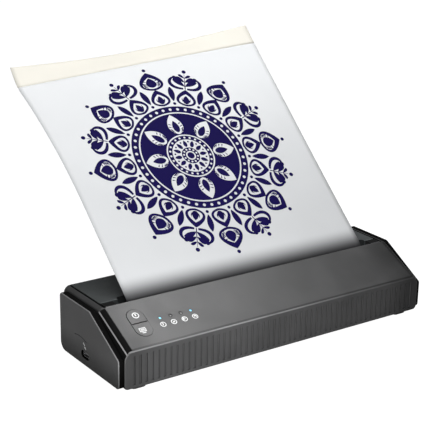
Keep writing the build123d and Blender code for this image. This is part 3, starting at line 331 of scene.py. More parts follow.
# The casing, the cover and the end plates get their painted light and shade through tone.
casing_plastic = Finish("casing_plastic", casing_grey, 0.40)
casing_painted_tone, casing_dull = casing_painted_light(casing_plastic)
mould_grain(casing_plastic, casing_grey, 0.40, casing_painted_tone, casing_dull)
dress(casing_plastic.material, "main_casing")
dress(moulded_plastic("button_plastic", shade(casing_grey, 0.95), 0.40), "power_button", "feed_button")
cover_plastic = Finish("cover_plastic", cover_grey, 0.50)
mould_grain(cover_plastic, cover_grey, 0.50, cover_painted_light(cover_plastic))
dress(cover_plastic.material, "rear_cover")
end_plate_plastic = Finish("end_plate_plastic", plate_grey, 0.46)
plate_painted_tone, plate_dull = plate_painted_light(end_plate_plastic)
mould_grain(end_plate_plastic, plate_grey, 0.46, plate_painted_tone, plate_dull, grain=0.00035)
dress(end_plate_plastic.material, "left_end_plate", "right_end_plate")
dress(moulded_plastic("tray_plastic", black, 0.60), "base_tray", "board_posts")
dress(moulded_plastic("guide_plastic", shade(black, 1.3), 0.34, grain=0.0004), "upper_guide", "paper_deck")
dress(moulded_plastic("chip_plastic", black, 0.45), "board_components", "button_switches", "paper_sensor")
# The gears' colour is a cream acetal's, cut to a twentieth.
darkened_acetal = moulded_plastic("gear_plastic", (0.035, 0.034, 0.031), 0.38, depth=0.000008)
dress(darkened_acetal, "platen_gear", "idler_gear", "platen_bearings")

# %% [markdown]
# ## Rubber, metal, film and boards
# What is inside shows through the slot and when the cover swings up, so it gets honest finishes too:
# ground rubber with a matt skin, bright steel with the marks of rolling or turning, green laminate with
# copper under the resist, amber film for the head's flat cable.

# %% Rubber
def rubber(name, color, roughness):
    finish = Finish(name, color, roughness)
    dust = finish.noise(0.006, detail=4.0).between(0.45, 0.8)
    finish.set("Base Color", finish.blend(dust, color, shade(color, 2.0)))
    finish.set("Roughness", dust * 0.12 + (roughness - 0.06))
    finish.relief(finish.noise(0.0004), 0.00003)
    return finish.material


dress(rubber("foot_rubber", (0.010, 0.010, 0.010), 0.8), "rubber_feet")
dress(rubber("platen_rubber", (0.018, 0.018, 0.019), 0.62), "platen_roller")


# %% Metal with the marks of how it was made
def metal(name, color, roughness, marks, stretch):
    """marks is the spacing of the fine lines in metres and stretch runs them along one axis."""
    finish = Finish(name, color, roughness, Metallic=1.0)
    lines = finish.noise(marks, detail=3.0, stretch=stretch)
    stain = finish.noise(0.012, detail=3.0).between(0.4, 0.7)
    finish.set("Base Color", finish.blend(stain, color, shade(color, 0.82)))
    finish.set("Roughness", lines * 0.16 + stain * 0.08 + (roughness - 0.1))
    finish.relief(lines, 0.000008)
    return finish.material


round_lines = (1.0, 0.06, 0.06)
sheet_lines = (1.0, 0.05, 1.0)
dress(metal("shaft_steel", (0.56, 0.56, 0.57), 0.24, 0.0006, round_lines),
      "platen_shaft", "idler_axle", "motor_shaft")
dress(metal("pin_steel", (0.5, 0.5, 0.51), 0.3, 0.0006, round_lines), "hinge_pins", "head_pins")
dress(metal("frame_steel", (0.52, 0.53, 0.54), 0.36, 0.0008, sheet_lines),
      "left_side_frame", "right_side_frame", "head_rail")
dress(metal("screw_steel", (0.30, 0.30, 0.31), 0.38, 0.0005, (1, 1, 1)), "case_screws", "frame_screws")
dress(metal("spring_steel", (0.42, 0.42, 0.43), 0.3, 0.0005, (1, 1, 1)), "head_springs")
dress(metal("sink_aluminium", (0.64, 0.64, 0.65), 0.36, 0.0005, (0.03, 1, 1)), "heat_sink")
dress(metal("motor_can", (0.50, 0.50, 0.50), 0.28, 0.0006, (0.05, 1, 1)), "feed_motor")
dress(metal("pinion_brass", (0.66, 0.48, 0.20), 0.3, 0.0005, round_lines), "motor_pinion")
dress(metal("socket_steel", (0.46, 0.46, 0.47), 0.28, 0.0006, (0.05, 1, 1)), "power_socket")


# %% Laminate, ceramic, film and shrink wrap
def laminate(name, color, copper):
    finish = Finish(name, color, 0.32)
    tracks = finish.cells(0.0022).between(0.36, 0.42)
    finish.set("Base Color", finish.blend(tracks, copper, color))
    finish.set("Roughness", tracks * 0.08 + 0.28)
    finish.relief(tracks, 0.00002)
    return finish.material


def smooth_skin(name, color, roughness, ripple, depth, **constants):
    """A glossy skin with a slight ripple: glaze, film or shrunk wrap."""
    finish = Finish(name, color, roughness, **constants)
    waves = finish.noise(ripple, detail=2.0)
    finish.set("Base Color", finish.blend(waves.between(0.3, 0.7), shade(color, 0.9), color))
    finish.set("Roughness", waves * 0.12 + (roughness - 0.05))
    finish.relief(waves, depth)
    return finish.material


dress(laminate("board_laminate", (0.006, 0.060, 0.022), (0.015, 0.10, 0.035)),
      "main_board", "charge_board", "control_board")
dress(smooth_skin("head_ceramic", (0.62, 0.60, 0.52), 0.2, 0.004, 0.00001, Coat_Weight=0.4),
      "print_head_strip")
dress(smooth_skin("cable_film", (0.55, 0.20, 0.02), 0.25, 0.003, 0.00002), "head_cable")
dress(smooth_skin("cell_wrap", (0.02, 0.10, 0.30), 0.28, 0.006, 0.00005, Coat_Weight=0.3), "battery_cells")


# %% Lamps and lenses
def lens(name, color, glow, strength):
    finish = Finish(name, color, 0.3, Emission_Strength=strength)
    spot = finish.noise(0.0005, detail=1.0)
    finish.set("Roughness", spot * 0.1 + 0.26)
    finish.set("Emission Color", finish.blend(spot, shade(glow, 0.9), glow))
    return finish.material


cyan = (0.20, 0.66, 0.90)
no_glow = (0.0, 0.0, 0.0)
dress(lens("lens_lit", cyan, cyan, 0.7), "indicator_lens_1", "indicator_lens_4")
dress(lens("lens_dark", (0.006, 0.006, 0.006), no_glow, 0.0), "indicator_lens_2", "indicator_lens_3")
dress(lens("lamp_epoxy", (0.6, 0.66, 0.62), no_glow, 0.0), "indicator_lamps")

# %% [markdown]
# ## The sheet
# The paper is fed in at the back, wraps a quarter of the way round the platen, stands up through the slot
# and falls back over the cover. Only one edge is straight: the other sags, because nobody props it, and its
# top corner curls up. So each long edge is a bend that changes along its length, and every strip between
# the two edges is bent by a mixture of both. Adding up short steps along each strip keeps the paper's
# length true, which is what makes it look like paper and not like rubber.

# %% The bend of each edge
sheet_width = 215.9
sheet_thickness = 0.25
platen_y, platen_z = -0.5, 33.0
wrap_radius = 6.645
tail_length = 31.4
rise_top = 41.7
bend_radius = 12.0
exit_lean = 42.6
free_length = 219.0
stub_length = 18.5
segment_lengths = (50.0, 55.0, 51.0, 27.0, 20.0, 16.0)
left_leans = (41.0, 41.5, 34.0, 29.5, 26.0, 52.0)
right_leans = (42.0, 42.6, 43.0, 42.4, 43.4, 45.0)
stub_middle_lean = 20.0
crease_length = 3.0


def lean_at(distance, leans):
    """The slope of one edge in degrees, that many millimetres up from the slot."""
    places = [0.0]
    slopes = [exit_lean]
    start = 0.0
    for length, lean in zip(segment_lengths, leans):
        places.append(start + length / 2)
        slopes.append(lean)
        start += length
    for low, high, a, b in zip(places, places[1:], slopes, slopes[1:]):
        if distance <= high:
            share = (distance - low) / (high - low)
            return a + (b - a) * share
    return slopes[-1]


def strip_lean(distance, across):
    """The slope of the strip at across, from 0 at the left edge to 1 at the right."""
    lean = lean_at(distance, left_leans) * (1 - across) + lean_at(distance, right_leans) * across
    past_crease = min(max((distance - (free_length - stub_length)) / crease_length, 0.0), 1.0)
    middle = 4 * across * (1 - across)
    return lean + past_crease * middle * (stub_middle_lean - lean)


print("left edge leans", left_leans, "right edge", right_leans)


# %% A table of the paper's surface
row_step = 2.0
columns = 48
tail_steps, wrap_steps, rise_steps, bend_steps = 8, 10, 5, 8


def hidden_rows():
    """The strip's line from the inlet end to the end of the bend, the same all across."""
    low_z = platen_z - wrap_radius
    line = [(platen_y + tail_length * (1 - i / tail_steps), low_z) for i in range(tail_steps)]
    for i in range(wrap_steps + 1):
        turn = math.radians(-90 - 90 * i / wrap_steps)
        line.append((platen_y + wrap_radius * math.cos(turn), platen_z + wrap_radius * math.sin(turn)))
    front_y = platen_y - wrap_radius
    rise = rise_top - platen_z
    line += [(front_y, platen_z + rise * i / rise_steps) for i in range(1, rise_steps + 1)]
    for i in range(1, bend_steps + 1):
        turn = math.radians((90 - exit_lean) * i / bend_steps)
        line.append((front_y + bend_radius * (1 - math.cos(turn)), rise_top + bend_radius * math.sin(turn)))
    return line


def strip(across):
    """Points (y, z) every row_step up the free part of one strip."""
    y, z = hidden_rows()[-1]
    points = [(y, z)]
    distance = 0.0
    while distance < free_length - 1e-6:
        step = min(row_step, free_length - distance)
        lean = math.radians(strip_lean(distance + step / 2, across))
        y += step * math.cos(lean)
        z += step * math.sin(lean)
        distance += step
        points.append((y, z))
    return points


strips = [strip(i / columns) for i in range(columns + 1)]
free_rows = len(strips[0])


def paper_point(across_mm, up_mm, lift=0.0):
    """A point on the free paper, in metres: across from its middle, up from the slot, lifted off it."""
    column = min(max((across_mm / sheet_width + 0.5) * columns, 0.0), columns - 1e-6)
    row = min(max(up_mm / row_step, 0.0), free_rows - 1 - 1e-6)
    c, r = int(column), int(row)
    u, v = column - c, row - r
    corner = [[Vector((0, *strips[c + i][r + j])) for j in (0, 1)] for i in (0, 1)]
    low = corner[0][0].lerp(corner[1][0], u)
    high = corner[0][1].lerp(corner[1][1], u)
    point = low.lerp(high, v)
    point.x = across_mm
    along = (high - low).normalized()
    face = Vector((0, -along.z, along.y))
    return (point + face * lift) * MM


top_left = paper_point(-sheet_width / 2, free_length)
print("paper rows", free_rows, "top left corner", tuple(round(c, 4) for c in top_left))


# %% Build the leaf and its binding strip
def link(name, mesh_data, material, body):
    """Makes an object from mesh data, smooth and dressed, riding on a body."""
    mesh = bpy.data.meshes.new(name)
    mesh_data.to_mesh(mesh)
    mesh_data.free()
    mesh.shade_smooth()
    mesh.materials.append(material)
    thing = bpy.data.objects.new(name, mesh)
    bpy.context.scene.collection.objects.link(thing)
    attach(thing, body)
    return thing


def grid_mesh(rows):
    """Quads through a table of points."""
    data = bmesh.new()
    table = [[data.verts.new(point) for point in row] for row in rows]
    for low, high in zip(table, table[1:]):
        for a, b, c, d in zip(low, low[1:], high[1:], high):
            data.faces.new((a, b, c, d))
    return data


def thicken(thing, thickness):
    """Gives a single skin its real thickness, half to each side."""
    solid = thing.modifiers.new("thickness", "SOLIDIFY")
    solid.thickness = thickness * MM
    solid.offset = 0.0


def paper(name, color, edge):
    """Uncoated paper: soft, matt, with fibres. The dark band at the slot is painted shade, and the slow
    brightening above it is painted light, like the painted tones of the casing."""
    finish = Finish(name, color, 0.72, Specular_IOR_Level=0.3)
    fibres = finish.noise(fibre_size, detail=4.0, stretch=(1, 0.5, 0.5))
    clouds = finish.noise(0.05, detail=2.0).between(0.3, 0.7)
    tint = finish.blend(clouds, shade(color, 0.97), color)
    # slot_shade is painted shade toward the edge colour at the slot; high is painted light that brightens
    # the sheet upward.
    slot_shade = finish.axis(2).between(*slot_height)
    high = finish.axis(2).between(*painted_light_height) * (1 - painted_light_at_slot) + painted_light_at_slot
    finish.set("Base Color", finish.times(finish.blend(slot_shade, edge, tint), high))
    finish.set("Roughness", fibres * 0.1 + 0.66)
    finish.relief(fibres, 0.00001)
    return finish.material


# Heights of the painted shade at the slot and of the painted light above it.
fibre_size = 0.0006
slot_height = (0.0488, 0.0612)
painted_light_height, painted_light_at_slot = (0.06, 0.19), 0.74
stub_thickness = 0.5
x_places = [(i / columns - 0.5) * sheet_width for i in range(columns + 1)]
hidden = [[Vector((x, y, z)) * MM for x in x_places] for y, z in hidden_rows()[:-1]]
white_steps = int((free_length - stub_length) / row_step)
white_rows = [[paper_point(x, i * row_step) for x in x_places] for i in range(white_steps + 1)]
# The dark edge colour is the painted shade where the sheet meets the slot.
stencil_paper = paper("stencil_paper", (0.845, 0.862, 0.878), (0.045, 0.045, 0.048))
leaf = link("stencil_leaf", grid_mesh(hidden + white_rows), stencil_paper, "rear_cover")
thicken(leaf, sheet_thickness)
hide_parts("stencil_sheet")
stub_start = white_steps * row_step
stub_steps = 8
stub_places = [stub_start + (free_length - stub_start) * i / stub_steps for i in range(stub_steps + 1)]
stub_rows = [[paper_point(x, up) for x in x_places] for up in stub_places]
# The strip gets the same painted light, with an edge colour close to its own.
stub_paper = paper("stub_paper", (0.895, 0.868, 0.785), (0.9, 0.87, 0.76))
stub = link("stub_strip", grid_mesh(stub_rows), stub_paper, "rear_cover")
thicken(stub, stub_thickness)
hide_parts("binding_stub")
print("leaf and strip made")

# %% [markdown]
# ## The printed design
# The copier burns one colour, a violet-blue carbon, so the drawing is flat areas and lines and no greys.
# Here it is a round ornament built by rule: a flower in the middle, a dark band with eight petals in its
# windows, a beaded ring, sixteen pointed petals with tapered hatching, and leaf sprays round the rim.
# Every motif is a closed outline, made once and turned round the centre. All of them are then laid on the
# paper as one thin skin, a hair above the sheet, so that its edges stay as crisp as a real transfer.

# %% Outlines that make a drawing
def turned(outline, angle):
    """The outline turned about the drawing's centre, in degrees."""
    c, s = math.cos(math.radians(angle)), math.sin(math.radians(angle))
    return [(x * c - y * s, x * s + y * c) for x, y in outline]


def mirrored(outline):
    return [(-x, y) for x, y in reversed(outline)]


def disc(x, y, radius, sides=20):
    return [(x + radius * math.cos(2 * math.pi * i / sides), y + radius * math.sin(2 * math.pi * i / sides))
            for i in range(sides)]


def bezier(a, b, c, d, steps):
    """Points along a cubic curve from a to d."""
    points = []
    for i in range(steps + 1):
        t = i / steps
        weights = ((1 - t) ** 3, 3 * t * (1 - t) ** 2, 3 * t * t * (1 - t), t ** 3)
        points.append(tuple(sum(w * p[k] for w, p in zip(weights, (a, b, c, d))) for k in (0, 1)))
    return points


def stroke(path, start, end, belly=None):
    """A brush stroke along a path: start and end are its widths there, belly its width half way."""
    belly = (start + end) / 2 if belly is None else belly
    left, right = [], []
    for i, (x, y) in enumerate(path):
        ahead, behind = path[min(i + 1, len(path) - 1)], path[max(i - 1, 0)]
        dx, dy = ahead[0] - behind[0], ahead[1] - behind[1]
        size = math.hypot(dx, dy) or 1.0
        t = i / (len(path) - 1)
        width = (1 - t) * (1 - 2 * t) * start + 4 * t * (1 - t) * belly + t * (2 * t - 1) * end
        width = max(width, 0.08) / 2
        left.append((x - dy / size * width, y + dx / size * width))
        right.append((x + dy / size * width, y - dx / size * width))
    return left + right[::-1]


print("brushes ready")


# %% Petals, leaves and sprays
def petal_side(base, tip, half, bulge):
    """One side of a petal that stands on the Y axis, from its foot to its pointed tip."""
    height = tip - base
    low_pull = (half * bulge, base + 0.1 * height)
    high_pull = (half * 1.1, base + 0.62 * height)
    return bezier((0.0, base), low_pull, high_pull, (0.0, tip), 16)


def filled_petal(base, tip, half, bulge=1.0):
    side = petal_side(base, tip, half, bulge)
    return side + mirrored(side)[1:-1]


def hatching(base, tip, half, count, length, width):
    """Tapered strokes that run up inside a petal from its foot, fanned."""
    strokes = []
    for i in range(count):
        share = (i + 0.5) / count * 2 - 1
        reach = length * (1 - 0.55 * share * share)
        foot = (share * half * 0.45, base + (tip - base) * (0.16 + 0.10 * abs(share)))
        head = (share * half * 0.62, foot[1] + (tip - base) * reach)
        bend = (share * half * 0.66, (foot[1] + head[1]) / 2)
        strokes.append(stroke(bezier(foot, bend, bend, head, 6), width, 0.08, width * 0.7))
    return strokes


def side_hatching(base, tip, half, count, width):
    """Short strokes that lean inward from a petal's edge."""
    strokes = []
    side = petal_side(base, tip, half, 1.0)
    for i in range(count):
        spot = side[3 + round(i * 9 / count)]
        inward = (spot[0] * 0.52, spot[1] - (tip - base) * 0.07)
        middle = ((spot[0] + inward[0]) / 2, (spot[1] + inward[1]) / 2 - 0.2)
        brush = stroke([spot, middle, inward], width, 0.08)
        strokes += [brush, mirrored(brush)]
    return strokes


def leaf_spray(base, tip, half):
    """A stem with pairs of small leaves, filled."""
    shapes = [stroke([(0.0, base), (0.0, (base + tip) / 2), (0.0, tip)], 0.9, 0.3)]
    for i in range(3):
        share = 0.18 + 0.27 * i
        y = base + (tip - base) * share
        reach = half * (1 - 0.24 * i)
        foot, point = (0.0, y), (reach, y + reach * 0.55)
        top = bezier(foot, (reach * 0.3, y + reach * 0.75), (reach * 0.8, y + reach * 0.9), point, 8)
        low = bezier(point, (reach * 0.75, y + reach * 0.15), (reach * 0.35, y + reach * 0.05), foot, 8)
        blade = top + low[1:-1]
        shapes += [blade, mirrored(blade)]
    return shapes


print("petals, leaves and sprays ready")


# %% Compose the ornament
def shell(base, tip, half, bulge, weight):
    """A petal drawn as a heavy outline: the filled petal with a smaller one cut out of it."""
    inner = filled_petal(base + weight * 0.8, tip - weight * 2.0, half - weight, bulge)
    return [filled_petal(base, tip, half, bulge), inner]


def beaded_band(inner, outer, beads, bead_radius):
    """A dark ring with a row of round holes."""
    pieces = []
    step = 2 * math.pi / beads
    middle = (inner + outer) / 2
    for i in range(beads):
        angles = [step * (i + share / 4) for share in range(5)]
        rim = [(inner * math.cos(a), inner * math.sin(a)) for a in angles]
        rim += [(outer * math.cos(a), outer * math.sin(a)) for a in reversed(angles)]
        bead = step * (i + 0.5)
        hole = disc(middle * math.cos(bead), middle * math.sin(bead), bead_radius, 12)
        pieces.append([rim, hole])
    return pieces


def around(shapes, times, start=0.0):
    """The shapes repeated evenly about the centre."""
    copies = []
    for i in range(times):
        angle = start + 360 / times * i
        for shape in shapes:
            loops = shape if isinstance(shape[0], list) else [shape]
            copies.append([turned(loop, angle) for loop in loops])
    return copies


def centre_flower():
    shapes = [[disc(0, 0, 3.0)]] + beaded_band(4.2, 7.6, 12, 0.85)
    shapes += around([filled_petal(8.2, 14.6, 2.1)], 12)
    shapes += around([disc(0, 13.2, 0.8, 10)], 12, 15.0)
    shapes += beaded_band(15.4, 19.0, 24, 0.95)
    return shapes


def windowed_band(inner, outer, count, window, steps=8):
    """A dark ring with one window cut in each of its parts."""
    half = 180 / count
    angles = [math.radians(90 - half + 2 * half * i / steps) for i in range(steps + 1)]
    rim = [(outer * math.cos(a), outer * math.sin(a)) for a in angles]
    rim += [(inner * math.cos(a), inner * math.sin(a)) for a in reversed(angles)]
    return around([[rim, window]], count)


def lotus_ring():
    petal_shapes = [filled_petal(22.8, 34.5, 3.6)] + side_hatching(20.8, 38.5, 7.4, 6, 1.1)
    return windowed_band(20.2, 41.4, 8, filled_petal(21.0, 40.4, 8.2)) + around(petal_shapes, 8)


def pointed_ring():
    petal_shapes = [shell(49.6, 67.0, 8.4, 1.5, 2.3), filled_petal(51.8, 60.5, 3.2, 1.2)]
    petal_shapes += hatching(50.0, 67.0, 6.6, 5, 0.36, 1.2)
    wedges = [filled_petal(54.0, 69.5, 4.6, 0.3), disc(0, 51.6, 1.4, 12)]
    return around(petal_shapes, 16) + around(wedges, 16, 11.25)


def rim_sprays():
    tips = [shell(66.5, 86.0, 11.0, 1.4, 2.6), filled_petal(69.8, 80.0, 5.2, 1.2), disc(0, 88.6, 1.6, 12)]
    tips += side_hatching(67.5, 83.5, 9.4, 7, 1.2)
    sprays = leaf_spray(67.5, 84.0, 10.5) + [disc(0, 86.5, 1.8, 12)]
    for way in (-1, 1):
        curl = bezier((way * 1.6, 68.0), (way * 14.5, 67.0), (way * 15.5, 76.5), (way * 9.0, 79.5), 14)
        sprays += [stroke(curl, 1.8, 1.2, 3.0), disc(way * 8.6, 79.0, 2.0, 12)]
    return around(tips, 8) + around(sprays, 8, 22.5)


def ornament():
    """Every closed outline of the drawing, in millimetres about its centre."""
    shapes = centre_flower() + lotus_ring()
    shapes += beaded_band(42.6, 48.6, 44, 1.3)
    return shapes + pointed_ring() + rim_sprays()


design = ornament()
print("drawn shapes:", len(design))


# %% Lay flat shapes on the bent paper
def laid_skin(name, shapes, place_point, grid, material, body):
    """Fills each shape, an outline and its holes, cuts it every grid millimetres so that it can follow a
    curve, and puts every point in its place."""
    data = bmesh.new()
    for loops in shapes:
        corners = [[Vector((x, y, 0.0)) for x, y in loop] for loop in loops]
        verts = [data.verts.new(corner) for loop in corners for corner in loop]
        for triple in tessellate_polygon(corners):
            data.faces.new([verts[i] for i in triple])
    low = min(v.co.y for v in data.verts)
    high = max(v.co.y for v in data.verts)
    for i in range(1, int((high - low) / grid) + 1):
        everything = data.verts[:] + data.edges[:] + data.faces[:]
        bmesh.ops.bisect_plane(data, geom=everything, plane_co=(0, low + i * grid, 0), plane_no=(0, 1, 0))
    for vert in data.verts:
        vert.co = place_point(vert.co.x, vert.co.y)
    data.normal_update()
    thing = link(name, data, material, body)
    print(name, len(thing.data.polygons), "faces")


def ink(name, color):
    """Carbon ink: dense and matt, thinner here and there where the head pressed less."""
    finish = Finish(name, color, 0.8, Specular_IOR_Level=0.12)
    worn = finish.noise(0.0012, detail=4.0).between(0.58, 0.78)
    finish.set("Base Color", finish.blend(worn, color, shade(color, 1.6)))
    finish.set("Roughness", worn * 0.15 + 0.75)
    return finish.material


print_center_across = -2.0
print_center_up = 104.0
print_lift = 0.16
stencil_ink = ink("stencil_ink", (0.004, 0.0008, 0.062))
laid_skin("stencil_drawing", design,
          lambda x, y: paper_point(print_center_across + x, print_center_up + y, print_lift),
          row_step, stencil_ink, "rear_cover")

# %% [markdown]
# ## Symbols on the fascia
# The machine has no words on it, only small pale symbols: a circle with a bar on the upper button, a
# sheet of paper on the lower one, a ring with a stroke or two under each lamp, and a plug's two prongs
# above the power inlet. They are laid on like the drawing, as thin skins of pad-printing ink.


# %% Draw the symbols
def circle_sign(radius, line):
    return [disc(0, 0, radius, 24), disc(0, 0, radius - line, 24)]


def arc(radius, start, stop):
    turn = [math.radians(start + (stop - start) * i / arc_steps) for i in range(arc_steps + 1)]
    return [(radius * math.cos(a), radius * math.sin(a)) for a in turn]


def bar(x, y, dx, dy, width):
    return [stroke([(x - dx, y - dy), (x, y), (x + dx, y + dy)], width, width)]


def moved(shapes, x, y):
    return [[[(px + x, py + y) for px, py in loop] for loop in loops] for loops in shapes]


arc_steps = 8
power_sign = [circle_sign(2.7, 0.8), bar(0, 0.3, 0, 1.1, 1.0)]
sheet_frame = [
    [(-3.0, -2.1), (-3.0, 2.1), (3.0, 2.1), (3.0, -2.1)],
    [(-2.3, -1.4), (2.3, -1.4), (2.3, 1.4), (-2.3, 1.4)],
]
page_lines = [bar(0, 0.6, 1.7, 0, 0.7), bar(0, -0.5, 1.7, 0, 0.7)]
sheet_sign = [sheet_frame] + page_lines + [[stroke(arc(3.4, 240, 300), 0.9, 0.9)]]
lamp_signs = [
    [bar(0, 0.4, 0, 0.8, 0.8), bar(-0.5, -0.6, 0.4, 0, 0.6)],
    [bar(-0.4, 0, 0.4, 0.8, 0.6), bar(0.5, 0, 0.4, 0.8, 0.6)],
    [[stroke(arc(1.0, 60, 240), 0.5, 0.5, 0.9)], bar(0.3, 0.1, 0.5, 0.5, 0.5)],
    [[stroke(arc(0.9, -60, 150), 0.5, 0.5, 0.9)], bar(-0.5, -0.3, 0.4, 0.4, 0.5)],
]
print("signs drawn")

# %% Lay them on the fascia
half_depth = 45.0
front_height = 30.6
slope_top_height, slope_run = 49.0, 38.0
slope = math.atan2(slope_top_height - front_height, slope_run)
end_face_x = -137.6
button_proud = 0.35
symbol_lift = 0.03
uncut = 50.0


def fascia_point(x, t, lift):
    """A point on the sloping panel: x along the machine and t up the slope, lifted off it."""
    y = -half_depth + t * math.cos(slope) - lift * math.sin(slope)
    z = front_height + t * math.sin(slope) + lift * math.cos(slope)
    return Vector((x, y, z)) * MM


def on_fascia(x_place, t_place, lift, size=1.0):
    """Puts a flat drawing on the fascia, its middle at that place."""
    return lambda x, t: fascia_point(x * size + x_place, t * size + t_place, lift)


def on_end_face(y, z):
    return Vector((end_face_x - symbol_lift, y, z)) * MM


symbol_ink = smooth_skin("symbol_ink", (0.86, 0.87, 0.87), 0.45, 0.002, 0.00001)
on_button = button_proud + symbol_lift
power_place, feed_place, feed_size = (-109.6, 28.7), (-111.2, 15.3), 0.85
laid_skin("power_symbol", power_sign, on_fascia(*power_place, on_button), uncut, symbol_ink, "power_button")
laid_skin("feed_symbol", sheet_sign, on_fascia(*feed_place, on_button, feed_size),
          uncut, symbol_ink, "feed_button")
sign_row = 15.6
sign_x = (-94.1, -85.3, -76.4, -67.6)
for number, (x_place, sign) in enumerate(zip(sign_x, lamp_signs), start=1):
    laid_skin(f"lamp_symbol_{number}", [circle_sign(2.3, 0.65)] + sign,
              on_fascia(x_place, sign_row, symbol_lift), uncut, symbol_ink, "base")
prongs_place = (3.2, 18.2)
prongs = moved([bar(0.9, 1.3, 1.1, 0.8, 1.0), bar(-0.7, -1.1, 1.1, 0.8, 1.0)], *prongs_place)
laid_skin("inlet_symbol", prongs, on_end_face, uncut, symbol_ink, "base")
print("symbols laid")

# %% [markdown]
# ## Painted shadow round the lamp holes, and painted glints
# Each lens sits a little below the fascia, in a hole. A thin dark ring round the hole is painted shadow,
# and on the two unlit lamps a small pale disc on the lens is a painted glint that shows there is a lens
# inside.

# %% Painted shadow rings and painted glints
# A thin near-black ring of painted shadow round each lamp hole.
shadow_ring_finish = smooth_skin("hole_shadow_ring", (0.012, 0.012, 0.012), 0.6, 0.002, 0.00001)
# A pale disc on each unlit lens: a painted glint.
painted_glint_finish = smooth_skin("lens_painted_glint", (0.5, 0.5, 0.5), 0.4, 0.002, 0.00001)
first_lens_x, lens_pitch, lens_row = -93.4, 8.5, 21.7
# lit_rim and unlit_rim are the outer radii of the painted shadow rings.
hole_radius, lit_rim, unlit_rim = 1.0, 1.25, 1.6
glint_depth = 0.2
for number in (1, 2, 3, 4):
    x_place = first_lens_x + lens_pitch * (number - 1)
    lit = number in (1, 4)
    rim = [disc(0, 0, lit_rim if lit else unlit_rim, 24), disc(0, 0, hole_radius, 24)]
    laid_skin(f"lens_shadow_ring_{number}", [rim], on_fascia(x_place, lens_row, symbol_lift),
              uncut, shadow_ring_finish, "base")
    if not lit:
        # The painted glint sits on the lens, below the fascia.
        laid_skin(f"lens_painted_glint_{number}", [[disc(0.3, -0.3, 0.45, 12)]],
                  on_fascia(x_place, lens_row, -glint_depth), uncut, painted_glint_finish, "base")
print("lamp holes rimmed")

# %% [markdown]
# ## Soft studio light
# Five soft boxes light the machine. A small one high up on the right makes the broad sheen on the fascia, a
# wide one overhead fills everything, and one at the front left lights the sheet. A low strip behind lifts
# the cover, and a small one near the desk lifts the front's left end. That last one also glances off the
# sloping edges, where it shows as white bars to anyone who looks from behind on the left.
# The floor and the room are white to the camera only. To the machine they are much dimmer, so that the
# white around it adds little light. Its reflections see the dim room too, and not the white one.

# %% Floor and room
def backdrop():
    """A world that is white to the camera and lights the machine at room_light."""
    world = bpy.data.worlds.new("studio")
    bpy.context.scene.world = world
    world.use_nodes = True
    tree = world.node_tree
    background = tree.nodes["Background"]
    background.inputs["Color"].default_value = white
    background.inputs["Strength"].default_value = room_light
    seen = tree.nodes.new("ShaderNodeBackground")
    seen.inputs["Color"].default_value = white
    path = tree.nodes.new("ShaderNodeLightPath")
    mix = tree.nodes.new("ShaderNodeMixShader")
    tree.links.new(path.outputs["Is Camera Ray"], mix.inputs[0])
    tree.links.new(background.outputs[0], mix.inputs[1])
    tree.links.new(seen.outputs[0], mix.inputs[2])
    tree.links.new(mix.outputs[0], tree.nodes["World Output"].inputs[0])


def lay_floor():
    """A floor that looks white but for the shadow, and sends little light back up."""
    data = bmesh.new()
    corners = [(x * floor_half, y * floor_half, 0) for x, y in ((-1, -1), (1, -1), (1, 1), (-1, 1))]
    data.faces.new([data.verts.new(corner) for corner in corners])
    mesh = bpy.data.meshes.new("floor")
    data.to_mesh(mesh)
    data.free()
    thing = bpy.data.objects.new("floor", mesh)
    bpy.context.scene.collection.objects.link(thing)
    material = bpy.data.materials.new("floor_white")
    material.use_nodes = True
    tree = material.node_tree
    shader = tree.nodes["Principled BSDF"]
    shader.inputs["Roughness"].default_value = 0.9
    glow = tree.nodes.new("ShaderNodeEmission")
    glow.inputs["Strength"].default_value = glow_strength
    path = tree.nodes.new("ShaderNodeLightPath")
    tone = tree.nodes.new("ShaderNodeMix")
    tone.data_type = "RGBA"
    tone.inputs[6].default_value = (floor_bounce, floor_bounce, floor_bounce, 1.0)
    tone.inputs[7].default_value = (floor_color, floor_color, floor_color, 1.0)
    tree.links.new(path.outputs["Is Camera Ray"], tone.inputs[0])
    tree.links.new(tone.outputs[2], shader.inputs["Base Color"])
    plain = tree.nodes.new("ShaderNodeMath")
    plain.operation = "MULTIPLY"
    plain.inputs[1].default_value = floor_glow
    tree.links.new(path.outputs["Is Camera Ray"], plain.inputs[0])
    mix = tree.nodes.new("ShaderNodeMixShader")
    tree.links.new(plain.outputs[0], mix.inputs[0])
    tree.links.new(shader.outputs[0], mix.inputs[1])
    tree.links.new(glow.outputs[0], mix.inputs[2])
    tree.links.new(mix.outputs[0], tree.nodes["Material Output"].inputs[0])
    mesh.materials.append(material)


white = (1.0, 1.0, 1.0, 1.0)
room_light = 0.08
floor_half = 6.0
floor_color = 0.9
floor_bounce = 0.4
floor_glow = 0.82
glow_strength = 1.25
backdrop()
lay_floor()
print("white room, light level", room_light)


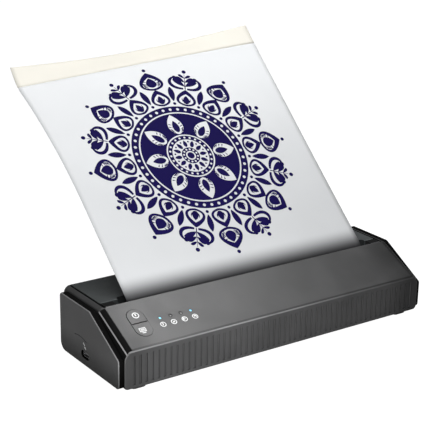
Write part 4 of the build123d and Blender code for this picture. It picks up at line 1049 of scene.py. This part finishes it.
# %% Soft boxes
def soft_box(name, place, aim, size, watts):
    """An area light at place, in millimetres, facing aim."""
    lamp = bpy.data.lights.new(name, "AREA")
    lamp.shape = "RECTANGLE"
    lamp.size, lamp.size_y = (side * MM for side in size)
    lamp.energy = watts
    thing = bpy.data.objects.new(name, lamp)
    thing.visible_camera = False
    thing.location = Vector(place) * MM
    toward = Vector(aim) - Vector(place)
    thing.rotation_euler = toward.to_track_quat("-Z", "Y").to_euler()
    bpy.context.scene.collection.objects.link(thing)
    print(name, "at", place, "with", watts, "W")


soft_box("sheen_box", (300, 120, 780), (-90, -25, 40), (220, 220), 1.8)
soft_box("top_box", (0, -100, 1200), (0, 0, 0), (800, 800), 6.8)
soft_box("key_box", (-450, -350, 700), (-60, 100, 150), (300, 300), 1.7)
soft_box("back_box", (-420, 800, 50), (0, 45, 40), (500, 60), 1.2)
soft_box("low_box", (-140, -270, 20), (-80, -45, 12), (140, 40), 0.66)

# %% [markdown]
# ## The camera
# A long lens from the front left, a little above, with its lens level turned by one degree, as when a
# tripod head is not quite true.

# %% Camera
azimuth, elevation, roll = (math.radians(angle) for angle in (-35.0, 18.6, 1.0))
distance = 892.8
target = Vector((-40.3, -14.2, 103.0))
focal_pixels, frame_pixels, sensor = 1257.0, 430.0, 36.0

lens_data = bpy.data.cameras.new("portrait")
lens_data.sensor_width = sensor
lens_data.lens = focal_pixels / frame_pixels * sensor
lens_data.clip_start = 0.05
camera = bpy.data.objects.new("portrait", lens_data)
bpy.context.scene.collection.objects.link(camera)
level = math.cos(elevation)
back = Vector((math.sin(azimuth) * level, -math.cos(azimuth) * level, math.sin(elevation)))
side = Vector((0, 0, 1)).cross(back).normalized()
top = back.cross(side)
side, top = side * math.cos(roll) + top * math.sin(roll), top * math.cos(roll) - side * math.sin(roll)
camera.rotation_euler = Matrix((side, top, back)).transposed().to_euler()
camera.location = (target + back * distance) * MM
bpy.context.scene.camera = camera
bpy.context.scene.view_settings.view_transform = "Standard"
print("camera at", tuple(round(c, 3) for c in camera.location), "lens", round(lens_data.lens, 1))
